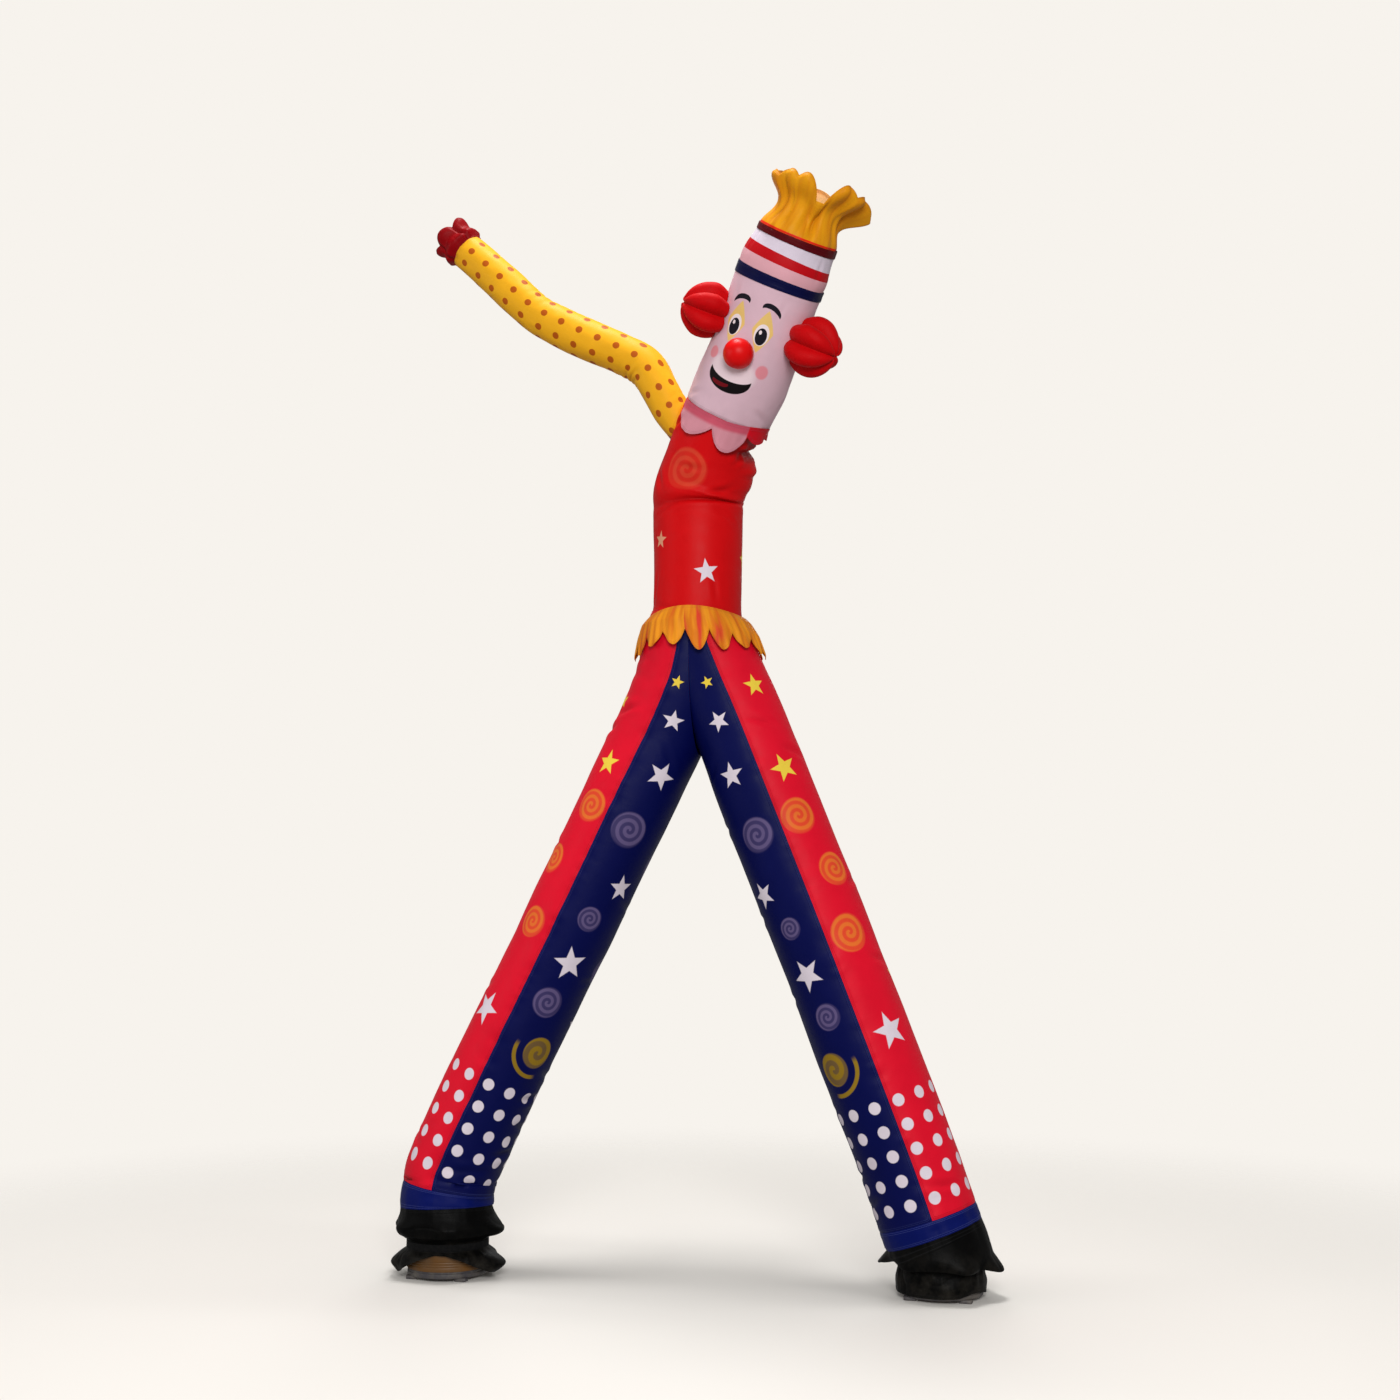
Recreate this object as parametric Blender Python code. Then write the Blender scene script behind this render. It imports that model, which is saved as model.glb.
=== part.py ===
"""Inflatable air dancer: a two-legged tube figure of thin sewn cloth, with its two floor blowers.

Metres, +Z up. The figure faces -Y and its left leg, as it is seen from the front, stands at -X.
Every cloth piece is a hollow skin, open where the air runs through it. Each tube follows a line, a
table of sections from its lower end to its upper one, and pieces sewn end to end share one line.
"""

import math

import bmesh
import bpy
import numpy as np

# Cloth
CLOTH = 0.0025  # thickness of every cloth panel
SEAM = 0.0003  # clearance where two pieces meet
FLATS = 0.0010  # further clearance where a piece is cut to a tube whose flats lie elsewhere
AROUND = 20  # flats round the body and the legs
TURNED = 28  # flats round the blowers and the cuffs that grip them

# Heights at which the pieces meet, read on the middle line of their tube
WAIST = 3.100
NECK = 4.115
HAT_BOTTOM = 4.675
HAT_TOP = 4.852
HEM_TOP = {"l": 0.407, "r": 0.345}
HEM_BOTTOM = {"l": 0.318, "r": 0.270}

# The body tube, which buckles at the crease and leans towards the front from there up.
# Columns: x, y, z, half width, half depth.
BODY_ROWS = (
    (-0.017, 0.0, 3.100, 0.258, 0.226),
    (-0.017, 0.0, 3.130, 0.237, 0.223),
    (-0.014, 0.0, 3.170, 0.219, 0.219),
    (-0.010, 0.0, 3.400, 0.216, 0.217),
    (-0.010, -0.001, 3.620, 0.221, 0.221),
    (0.000, -0.015, 3.756, 0.224, 0.222),
    (0.058, -0.055, 3.892, 0.217, 0.217),
    (0.106, -0.091, 3.993, 0.214, 0.215),
    (0.165, -0.130, 4.099, 0.214, 0.216),
    (0.250, -0.182, 4.240, 0.223, 0.221),
    (0.326, -0.232, 4.372, 0.218, 0.217),
    (0.472, -0.341, 4.656, 0.211, 0.210),
    (0.523, -0.377, 4.746, 0.213, 0.211),
    (0.580, -0.414, 4.840, 0.192, 0.194),
    (0.664, -0.478, 4.996, 0.194, 0.195),
)

# Folds across the inside of a bend, and the swell below the upper one, whose depth is negative.
# Columns: height, depth, half its length along the tube, degrees round from the front, half width in degrees.
TORSO_FOLDS = (
    (3.712, 0.018, 0.045, 10, 150),
    (4.002, 0.056, 0.040, 100, 78),
    (3.928, -0.032, 0.044, 95, 45),
    (3.845, -0.016, 0.060, 100, 50),
)
TORSO_RINGS = (3.130, 3.168)  # where the torso spreads to the hips

# The legs, from the floor up. Columns: x, y, z, half width, half depth.
LEG_ROWS = {
    "l": (
        (-1.205, -0.150, 0.020, 0.228, 0.228),
        (-1.205, -0.150, 0.170, 0.228, 0.228),
        (-1.211, -0.146, 0.256, 0.230, 0.228),
        (-1.217, -0.141, 0.334, 0.228, 0.226),
        (-1.207, -0.135, 0.422, 0.224, 0.224),
        (-1.178, -0.128, 0.529, 0.222, 0.222),
        (-0.978, -0.101, 0.959, 0.221, 0.221),
        (-0.668, -0.061, 1.601, 0.222, 0.222),
        (-0.357, -0.021, 2.253, 0.225, 0.226),
        (-0.190, 0.0, 2.600, 0.226, 0.226),
        (-0.085, 0.0, 2.850, 0.229, 0.225),
        (-0.045, 0.0, 3.080, 0.230, 0.225),
        (-0.040, 0.0, 3.180, 0.230, 0.225),
    ),
    "r": (
        (1.130, 0.0, 0.020, 0.230, 0.230),
        (1.127, 0.0, 0.150, 0.230, 0.230),
        (1.108, 0.0, 0.230, 0.230, 0.230),
        (1.076, 0.0, 0.320, 0.229, 0.229),
        (1.042, 0.0, 0.420, 0.228, 0.228),
        (0.981, 0.0, 0.590, 0.231, 0.228),
        (0.845, 0.0, 0.950, 0.231, 0.228),
        (0.594, 0.0, 1.600, 0.230, 0.228),
        (0.340, 0.0, 2.242, 0.230, 0.228),
        (0.193, 0.0, 2.610, 0.229, 0.227),
        (0.090, 0.0, 2.850, 0.229, 0.225),
        (0.014, 0.0, 3.060, 0.228, 0.225),
        (0.008, 0.0, 3.180, 0.228, 0.225),
    ),
}
# Where the two panels of a leg are sewn together, in degrees round from the front towards +X
FRONT_SEAM = {"l": 2.0, "r": 13.0}
BACK_SEAM = {"l": 180.0, "r": 180.0}
LEG_STEPS = 11

# The arms, from inside the shoulder to the wrist. Columns: x, y, z, half width, half depth.
ARM_ROWS = {
    "l": (
        (0.054, -0.09, 3.904, 0.079, 0.089),
        (-0.031, -0.09, 4.043, 0.085, 0.093),
        (-0.114, -0.10, 4.161, 0.092, 0.097),
        (-0.185, -0.11, 4.290, 0.093, 0.099),
        (-0.257, -0.11, 4.401, 0.099, 0.101),
        (-0.386, -0.12, 4.480, 0.099, 0.101),
        (-0.544, -0.13, 4.557, 0.103, 0.103),
        (-0.707, -0.14, 4.646, 0.099, 0.101),
        (-0.838, -0.15, 4.733, 0.096, 0.099),
        (-1.006, -0.16, 4.899, 0.097, 0.099),
        (-1.187, -0.17, 5.072, 0.091, 0.091),
    ),
    "r": (
        (0.060, 0.02, 3.860, 0.085, 0.090),
        (0.088, 0.16, 3.885, 0.080, 0.088),
        (0.072, 0.29, 3.897, 0.080, 0.088),
        (0.018, 0.38, 3.812, 0.090, 0.090),
        (-0.030, 0.40, 3.640, 0.096, 0.092),
        (-0.055, 0.39, 3.360, 0.096, 0.094),
        (-0.070, 0.37, 3.060, 0.094, 0.094),
        (-0.060, 0.36, 2.780, 0.092, 0.092),
        (-0.050, 0.36, 2.660, 0.088, 0.088),
    ),
}
ARM_FRONT = {"l": (0.0, -1.0, 0.0), "r": (0.0, 0.0, 1.0)}
ARM_AROUND = 12
ARM_STEPS = 13

# Open mouths, splayed into lobes. Columns: degrees round from the front, half width in degrees,
# reach, rise. Between the lobes the cloth comes in to the notch's reach and rise.
CROWN_LOBES = (
    (-62, 27, 0.215, 0.256),
    (-10, 28, 0.190, 0.308),
    (60, 24, 0.210, 0.320),
    (88, 18, 0.256, 0.280),
    (116, 22, 0.306, 0.186),
    (152, 23, 0.260, 0.252),
    (190, 25, 0.230, 0.250),
    (232, 25, 0.206, 0.264),
    (270, 23, 0.194, 0.256),
)
CROWN_NOTCH = (0.160, 0.196)
CROWN_AROUND = 48
LOBE_ROUND = 0.38  # the lower it is, the broader the lobes' tips
CROWN_WAIST = 0.052  # how far the crown draws in between its base and its rim
GLOVE_LOBES = (
    (-90, 40, 0.114, 0.128),
    (-14, 42, 0.104, 0.142),
    (66, 44, 0.112, 0.140),
    (148, 42, 0.104, 0.130),
    (214, 34, 0.106, 0.140),
)
GLOVE_NOTCH = (0.088, 0.104)
GLOVE_AROUND = 30
GLOVE_KNUCKLE = 0.018  # how far the glove bulges out over the wrist

# Frill at the waist. Columns: z, middle x, half width, half depth.
FRILL_ROWS = (
    (3.170, -0.014, 0.2215, 0.2215),
    (3.140, -0.015, 0.2440, 0.2330),
    (3.100, -0.016, 0.2760, 0.2430),
    (3.040, -0.004, 0.2990, 0.2520),
    (2.950, 0.006, 0.3230, 0.2640),
)
FRILL_TOP = 3.165
FRILL_POINTS = 13
FRILL_TIP = 0.200  # how far a point hangs below the top edge
FRILL_NOTCH = 0.112  # the same between two points
FRILL_FLUTE = 0.010  # how far a point stands out past a notch

# Ruff at the neck, open where the raised arm leaves the shoulder.
# Columns: degrees round from the front, half width in degrees, drop.
COLLAR_LOBES = (
    (-27, 29, 0.130),
    (4, 15, 0.098),
    (30, 21, 0.144),
    (70, 20, 0.072),
    (110, 21, 0.056),
    (150, 20, 0.070),
    (190, 21, 0.080),
    (226, 18, 0.090),
)
COLLAR_START, COLLAR_STOP = -60.0, 244.0
COLLAR_BAND = 0.030
COLLAR_OFF = 0.0007  # the gap to the neck at the collar's upper edge
COLLAR_FLARE = 0.030
COLLAR_ROUND = 0.36  # the lower it is, the broader the lobes' tips

# Bands laid over the hat's two edges
HAT_BAND = 0.052
CROWN_BAND = 0.040
HAT_BAND_OFF = 0.0018  # how far a band stands off the cloth under it
CROWN_BAND_OFF = 0.0028  # more, because the crown's flats lie elsewhere

# Hair puffs and nose. Columns: degrees round from the front, height on the body line, distance
# from that line, radius.
HAIR = {"l": (-64, 4.478, 0.281, 0.134), "r": (74, 4.494, 0.296, 0.143)}
HAIR_LOBES = 6
HEAD_STEPS = 4
NOSE = (0, 4.380, 0.254, 0.072)

# Foot cuffs, gathered over the blowers and drawn in by a strap
CUFF_CINCH = (0.135, 0.175)  # the stretch that the strap holds against the drum
CINCH_RADIUS = 0.1928
# Columns: z, radius.
CUFF_ROWS = {
    "l": (
        (0.020, 0.226),
        (0.070, 0.236),
        (0.112, 0.222),
        (0.135, CINCH_RADIUS),
        (0.175, CINCH_RADIUS),
        (0.205, 0.230),
        (0.245, 0.240),
        (0.300, 0.230),
    ),
    "r": (
        (0.020, 0.199),
        (0.112, 0.199),
        (0.135, CINCH_RADIUS),
        (0.175, CINCH_RADIUS),
        (0.198, 0.234),
        (0.240, 0.242),
        (0.300, 0.232),
    ),
}
STRAP_LOW, STRAP_HIGH = 0.139, 0.171
STRAP = 0.0016
CUFF_SAG = {"l": 0.35, "r": 0.85}  # how far a bulge hangs down, as a share of its reach
# Bulges of the gathered cloth. Columns: degrees round, z, how far out, half width in degrees,
# half height.
CUFF_LOBES = {
    "l": (
        (88, 0.240, 0.048, 34, 0.050),
        (150, 0.240, 0.030, 30, 0.050),
        (215, 0.236, 0.042, 30, 0.050),
        (268, 0.245, 0.034, 28, 0.050),
        (318, 0.240, 0.020, 24, 0.050),
        (20, 0.240, 0.016, 24, 0.050),
        (90, 0.066, 0.062, 32, 0.052),
        (160, 0.060, 0.030, 32, 0.050),
        (232, 0.062, 0.046, 28, 0.050),
        (290, 0.066, 0.034, 24, 0.050),
    ),
    "r": (
        (266, 0.205, 0.078, 34, 0.042),
        (88, 0.204, 0.046, 36, 0.042),
        (330, 0.214, 0.018, 24, 0.046),
        (35, 0.216, 0.024, 26, 0.046),
        (150, 0.214, 0.030, 30, 0.048),
        (208, 0.212, 0.036, 26, 0.048),
        (262, 0.060, 0.010, 30, 0.050),
        (20, 0.062, 0.012, 30, 0.050),
        (120, 0.060, 0.014, 32, 0.050),
        (190, 0.064, 0.012, 26, 0.050),
    ),
}
# How far the cuff's lower edge rides up. Columns: degrees round, rise, half width in degrees.
CUFF_LIFTS = {"l": ((12, 0.102, 82), (185, 0.030, 40)), "r": ((60, 0.018, 40), (200, 0.025, 45))}
CUFF_BOTTOM = 0.024
CUFF_LEAST = 0.010  # how far the cuff always reaches below its strap

# Blowers
FOOT = {"l": (-1.205, -0.150), "r": (1.122, 0.0)}
DRUM_RADIUS = 0.190
DRUM_WALL = 0.006
DRUM_TOP = 0.262
LIP = 0.004
BASE_RADIUS = 0.187
BASE_TOP = 0.046
BASE_BOTTOM = 0.014
LEDGE_RADIUS = 0.164
FOOT_SIZE = (0.060, 0.040)
FOOT_RING = 0.172
FOOT_PLACES = (45, 135, 225, 315)  # degrees round from the front
GUARD = 0.010
GUARD_HUB = 0.050
GUARD_SPOKES = 8
GUARD_RIM = 0.012
SPOKE = 0.012
SPOKE_INSET = 0.001


def radians(degrees):
    return np.radians(np.asarray(degrees, float))


def unit(vectors):
    return vectors / np.linalg.norm(vectors, axis=-1, keepdims=True)


def smooth_rows(rows, per_gap=30):
    """Catmull-Rom curve through the rows of a table, every column at once."""
    rows = np.array(rows, float)
    ends = np.vstack([2 * rows[0] - rows[1], rows, 2 * rows[-1] - rows[-2]])
    t = np.linspace(0, 1, per_gap, endpoint=False)[:, None]
    gaps = [
        0.5 * (2 * b + (c - a) * t + (2 * a - 5 * b + 4 * c - d) * t**2 + (3 * b - a - 3 * c + d) * t**3)
        for a, b, c, d in zip(ends, ends[1:], ends[2:], ends[3:])
    ]
    return np.vstack([*gaps, rows[-1:]])


def bump(distance):
    """1 at the middle, falling smoothly to 0 at a distance of 1 and beyond."""
    return np.cos(np.clip(np.abs(distance), 0, 1) * math.pi / 2) ** 2


def degrees_apart(a, b):
    return (np.asarray(a, float) - b + 180) % 360 - 180


class Line:
    """The smooth middle line of a tube, read by the distance run along it from its first row."""

    def __init__(self, rows, front=(0.0, -1.0, 0.0)):
        fine = smooth_rows(rows)
        self.centre, self.half = fine[:, :3], fine[:, 3:]
        steps = np.linalg.norm(np.diff(self.centre, axis=0), axis=1)
        self.run = np.concatenate([[0], np.cumsum(steps)])
        self.along = unit(np.gradient(self.centre, self.run, axis=0))
        fronts = []
        carried = np.array(front, float)
        for along in self.along:
            carried = unit(carried - along * (carried @ along))
            fronts.append(carried)
        self.front = np.array(fronts)
        self.side = np.cross(self.along, self.front)

    def length(self):
        return self.run[-1]

    def at_height(self, z):
        """The run at which a line that climbs all the way reaches a height."""
        return float(np.interp(z, self.centre[:, 2], self.run))

    def read(self, values, runs):
        columns = [np.interp(runs, self.run, values[:, i]) for i in range(values.shape[1])]
        return np.stack(columns, axis=-1)

    def points(self, runs, degrees, grow=0.0):
        """Points on the tube at these runs and angles round it, grown outwards."""
        runs, degrees = np.asarray(runs, float), np.asarray(degrees, float)
        half = self.read(self.half, runs)
        wide = (half[..., 0] + grow) * np.sin(radians(degrees))
        deep = (half[..., 1] + grow) * np.cos(radians(degrees))
        side, front = self.read(self.side, runs), self.read(self.front, runs)
        return self.read(self.centre, runs) + side * wide[..., None] + front * deep[..., None]


def grid(first, second):
    """Two lists of values as a grid: the first runs down the rows, the second across them."""
    return np.meshgrid(np.asarray(first, float), np.asarray(second, float), indexing="ij")


def full_circle(count):
    return np.arange(count) * 360.0 / count


def finish(name, colour, roughness, metallic=0.0):
    material = bpy.data.materials.new(name)
    material.use_nodes = True
    shader = material.node_tree.nodes["Principled BSDF"]
    shader.inputs["Base Color"].default_value = (*colour, 1.0)
    shader.inputs["Roughness"].default_value = roughness
    shader.inputs["Metallic"].default_value = metallic
    material.diffuse_color = (*colour, 1.0)
    return material


def add_object(name, mesh, material=None):
    made = bpy.data.objects.new(name, mesh)
    bpy.context.scene.collection.objects.link(made)
    made.parent = dancer
    if material:
        mesh.materials.append(material)
    return made


def mesh_of(name, points, faces, sharp=40.0):
    """A mesh from points and faces, all facing out and shaded smooth but for its sharp edges."""
    mesh = bpy.data.meshes.new(name)
    mesh.from_pydata([tuple(map(float, point)) for point in points], [], faces)
    shape = bmesh.new()
    shape.from_mesh(mesh)
    bmesh.ops.recalc_face_normals(shape, faces=shape.faces)
    shape.to_mesh(mesh)
    shape.free()
    mesh.shade_smooth()
    mesh.set_sharp_from_angle(angle=math.radians(sharp))
    return mesh


def sheet_faces(rows, columns, closed, start=0, flip=False):
    """The quads of a grid of points, joined round to its first column where it is closed."""
    faces = []
    for i in range(rows - 1):
        for j in range(columns if closed else columns - 1):
            k = (j + 1) % columns
            quad = [start + i * columns + j, start + i * columns + k]
            quad += [start + (i + 1) * columns + k, start + (i + 1) * columns + j]
            faces.append(quad[::-1] if flip else quad)
    return faces


def skin(name, outer, inner, material, closed=True):
    """A cloth piece: an outer and an inner grid of points, joined along every free edge."""
    rows, columns = outer.shape[:2]
    count = rows * columns
    faces = sheet_faces(rows, columns, closed) + sheet_faces(rows, columns, closed, count, True)
    for row in (0, rows - 1):
        for j in range(columns if closed else columns - 1):
            a, b = row * columns + j, row * columns + (j + 1) % columns
            faces.append([a, b, count + b, count + a])
    if not closed:
        for column in (0, columns - 1):
            for i in range(rows - 1):
                a, b = i * columns + column, (i + 1) * columns + column
                faces.append([a, b, count + b, count + a])
    points = np.vstack([outer.reshape(-1, 3), inner.reshape(-1, 3)])
    return add_object(name, mesh_of(name, points, faces), material)


def plug(name, ring_points):
    """A closed solid with these rings of points as its wall and its two end rings filled."""
    rows, columns = ring_points.shape[:2]
    faces = sheet_faces(rows, columns, True)
    faces += [list(range(columns)), [(rows - 1) * columns + j for j in range(columns)]]
    return mesh_of(name, ring_points.reshape(-1, 3), faces)


def turned(name, profile, middle, segments=TURNED):
    """A closed profile of radius and height, turned about an upright axis through the middle."""
    turns = radians(full_circle(segments))
    radius, height = np.array(profile, float).T
    points = np.stack(
        [
            middle[0] + radius[:, None] * np.sin(turns),
            middle[1] - radius[:, None] * np.cos(turns),
            height[:, None] + 0 * turns,
        ],
        axis=-1,
    )
    looped = np.concatenate([points, points[:1]])
    faces = sheet_faces(len(looped), segments, True)
    count = len(profile) * segments
    faces = [[index % count for index in face] for face in faces]
    return mesh_of(name, points.reshape(-1, 3), faces, 30.0)


def box(name, low, high):
    mesh = bpy.data.meshes.new(name)
    shape = bmesh.new()
    bmesh.ops.create_cube(shape, size=1.0)
    for vertex in shape.verts:
        for axis in range(3):
            share = vertex.co[axis] + 0.5
            vertex.co[axis] = low[axis] + share * (high[axis] - low[axis])
    shape.to_mesh(mesh)
    shape.free()
    return mesh


def cutter(name, mesh):
    helper = add_object(name, mesh)
    helper.hide_render = True
    helper.display_type = "WIRE"
    return helper


def boolean(target, helper, operation):
    modifier = target.modifiers.new(helper.name, "BOOLEAN")
    modifier.object = helper
    modifier.operation = operation
    modifier.solver = "EXACT"


def fold_depth(line, runs, degrees, folds):
    """How far a tube is drawn in at each place by the folds across it."""
    depth = np.zeros_like(runs)
    for height, deep, half, middle, half_degrees in folds:
        across = bump(degrees_apart(degrees, middle) / half_degrees)
        depth += deep * bump((runs - line.at_height(height)) / half) * across
    return depth


def tube_piece(name, line, low, high, steps, material, around=AROUND, folds=(), rings=()):
    """A ring of cloth between two runs of a line. Each fold and each named height gets its own row."""
    runs = set(np.linspace(low, high, steps + 1)) | {line.at_height(height) for height in rings}
    for height, _, half, _, _ in folds:
        middle = line.at_height(height)
        runs -= {run for run in runs if low < run < high and abs(run - middle) < half * 1.4}
        runs |= {middle - half, middle, middle + half}
    run_grid, degrees = grid(sorted(runs), full_circle(around))
    drawn = -fold_depth(line, run_grid, degrees, folds)
    outer = line.points(run_grid, degrees, drawn)
    inner = line.points(run_grid, degrees, drawn - CLOTH)
    return skin(name, outer, inner, material)


def leg_panel(name, side, from_degrees, to_degrees, material):
    """Half of a leg between its front and back seams, trimmed flat at the waist and the middle."""
    line = legs[side]
    low, high = line.at_height(HEM_TOP[side]), line.length()
    seam = math.degrees(SEAM / 0.45)
    runs, degrees = grid(
        np.linspace(low, high, LEG_STEPS + 1),
        np.linspace(from_degrees + seam, to_degrees - seam, AROUND // 2 + 1),
    )
    outer = line.points(runs, degrees)
    inner = line.points(runs, degrees, -CLOTH)
    panel = skin(name, outer, inner, material, closed=False)
    boolean(panel, hip_room[side], "INTERSECT")
    return panel


def build_hip_room():
    """The space each leg is trimmed to, up to the waist seam and the seam between the legs."""
    reach, top = 2.0, WAIST - 2 * SEAM
    return {
        "l": cutter("hip_room_l", box("hip_room_l", (-reach, -1, -1), (-SEAM / 2, 1, top))),
        "r": cutter("hip_room_r", box("hip_room_r", (SEAM / 2, -1, -1), (reach, 1, top))),
    }


def build_legs():
    for side in "lr":
        front, back = FRONT_SEAM[side], BACK_SEAM[side]
        if side == "l":
            leg_panel("leg_l_navy", side, front, back, navy)
            leg_panel("leg_l_red", side, back, front + 360, red)
        else:
            leg_panel("leg_r_red", side, front, back, red)
            leg_panel("leg_r_navy", side, back, front + 360, navy)
        line = legs[side]
        low = line.at_height(HEM_BOTTOM[side]) + SEAM
        high = line.at_height(HEM_TOP[side]) - SEAM
        tube_piece(f"hem_{side}", line, low, high, 1, blue)


def cuff_bulge(side, degrees, z):
    """How far the gathered cloth of the cuff bulges out at an angle and a height."""
    out = np.zeros_like(z)
    for middle, height, reach, half, tall in CUFF_LOBES[side]:
        out = out + reach * bump(degrees_apart(degrees, middle) / half) * bump((z - height) / tall)
    return np.where((z >= CUFF_CINCH[0]) & (z <= CUFF_CINCH[1]), 0.0, out)


def cuff_bottom(side, degrees):
    height = np.full_like(degrees, CUFF_BOTTOM)
    for middle, rise, half in CUFF_LIFTS[side]:
        height = height + rise * bump(degrees_apart(degrees, middle) / half)
    return np.minimum(height, CUFF_CINCH[0] - CUFF_LEAST)


def cuff_points(side, degrees, z):
    """The cuff's outer face: rings round the blower that run up into the slanted seam at the hem."""
    line = legs[side]
    rows = np.array(CUFF_ROWS[side])
    seam = line.points(line.at_height(HEM_BOTTOM[side]) - SEAM, degrees)
    bulge = cuff_bulge(side, degrees, z)
    radius = np.interp(z, rows[:, 0], rows[:, 1]) + bulge
    x = FOOT[side][0] + radius * np.sin(radians(degrees))
    y = FOOT[side][1] - radius * np.cos(radians(degrees))
    toward_seam = np.clip((z - CUFF_CINCH[1]) / (seam[..., 2] - CUFF_CINCH[1]), 0, 1) ** 3
    x = x + (seam[..., 0] - x) * toward_seam
    y = y + (seam[..., 1] - y) * toward_seam
    sag = CUFF_SAG[side] * bulge * np.where(z > CUFF_CINCH[1], 1 - toward_seam, 0)
    return np.stack([x, y, z - sag], axis=-1)


def inside_of(outer, seam_axis):
    """A closed ring of cloth's inner face: its outer one moved in by the cloth's thickness.

    The first ring moves in level and the last one within its slanted seam.
    """
    around = np.roll(outer, -1, axis=1) - np.roll(outer, 1, axis=1)
    normal = unit(np.cross(around, np.gradient(outer, axis=0)))
    normal[0, :, 2] = 0
    normal[-1] -= (normal[-1] @ seam_axis)[:, None] * seam_axis
    return outer - unit(normal) * CLOTH


def build_cuffs():
    for side in "lr":
        degrees = full_circle(TURNED)
        low = cuff_bottom(side, degrees)
        line = legs[side]
        seam_run = line.at_height(HEM_BOTTOM[side]) - SEAM
        top = line.points(seam_run, degrees)[:, 2]
        cinch_low, cinch_high = CUFF_CINCH
        heights = [low + (cinch_low - low) * share for share in (0.0, 0.5, 0.8, 1.0)]
        heights += [cinch_high + (top - cinch_high) * share for share in (0.0, 0.18, 0.42, 0.70, 1.0)]
        outer = cuff_points(side, np.broadcast_to(degrees, (len(heights), TURNED)), np.array(heights))
        skin(f"cuff_{side}", outer, inside_of(outer, line.read(line.along, seam_run)), black_cloth)
        held = CINCH_RADIUS + SEAM
        profile = (
            (held, STRAP_LOW),
            (held + STRAP, STRAP_LOW),
            (held + STRAP, STRAP_HIGH),
            (held, STRAP_HIGH),
        )
        mesh = turned(f"strap_{side}", profile, FOOT[side])
        add_object(f"strap_{side}", mesh, webbing)


def build_blowers():
    drum_foot = BASE_TOP + SEAM
    drum = (
        (DRUM_RADIUS, drum_foot),
        (DRUM_RADIUS, DRUM_TOP - LIP),
        (DRUM_RADIUS - LIP / 2, DRUM_TOP),
        (DRUM_RADIUS - DRUM_WALL, DRUM_TOP),
        (DRUM_RADIUS - DRUM_WALL, drum_foot),
    )
    base = (
        (LEDGE_RADIUS, BASE_BOTTOM),
        (BASE_RADIUS - LIP, BASE_BOTTOM),
        (BASE_RADIUS, BASE_BOTTOM + LIP),
        (BASE_RADIUS, BASE_TOP),
        (LEDGE_RADIUS, BASE_TOP),
    )
    for side in "lr":
        x, y = FOOT[side]
        add_object(f"blower_drum_{side}", turned(f"blower_drum_{side}", drum, (x, y)), ochre)
        base_mesh = turned(f"blower_base_{side}", base, (x, y))
        base_ring = add_object(f"blower_base_{side}", base_mesh, grey_plastic)
        for number, degrees in enumerate(FOOT_PLACES):
            middle_x = x + FOOT_RING * math.sin(math.radians(degrees))
            middle_y = y - FOOT_RING * math.cos(math.radians(degrees))
            half_x, half_y = FOOT_SIZE[0] / 2, FOOT_SIZE[1] / 2
            name = f"blower_foot_{side}{number}"
            foot = box(
                name,
                (middle_x - half_x, middle_y - half_y, 0.0),
                (middle_x + half_x, middle_y + half_y, BASE_BOTTOM + LIP),
            )
            boolean(base_ring, cutter(name, foot), "UNION")
        build_guard(side, x, y)


def build_guard(side, x, y):
    """The inlet guard under the drum: a hub, a rim and spokes between them."""
    low, high = BASE_BOTTOM + LIP, BASE_BOTTOM + LIP + GUARD
    rim_in, rim_out = LEDGE_RADIUS - GUARD_RIM, LEDGE_RADIUS - SEAM
    rim = ((rim_in, low), (rim_out, low), (rim_out, high), (rim_in, high))
    guard = add_object(f"inlet_guard_{side}", turned(f"inlet_guard_{side}", rim, (x, y)), black_plastic)
    turns = radians(full_circle(16))
    across, deep = x + GUARD_HUB * np.sin(turns), y - GUARD_HUB * np.cos(turns)
    hub_points = np.stack([np.stack([across, deep, z + 0 * turns], axis=-1) for z in (low, high)])
    boolean(guard, cutter(f"guard_hub_{side}", plug(f"guard_hub_{side}", hub_points)), "UNION")
    for number, degrees in enumerate(full_circle(GUARD_SPOKES)):
        out = np.array([math.sin(math.radians(degrees)), -math.cos(math.radians(degrees)), 0.0])
        across = np.array([-out[1], out[0], 0.0]) * SPOKE / 2
        bottom, top = np.array([x, y, low + SPOKE_INSET]), np.array([x, y, high - SPOKE_INSET])
        ends = [
            [at + across + bottom, at - across + bottom, at - across + top, at + across + top]
            for at in (out * GUARD_HUB * 0.9, out * (rim_in + GUARD_RIM / 2))
        ]
        name = f"guard_spoke_{side}{number}"
        boolean(guard, cutter(name, plug(name, np.array(ends))), "UNION")


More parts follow.
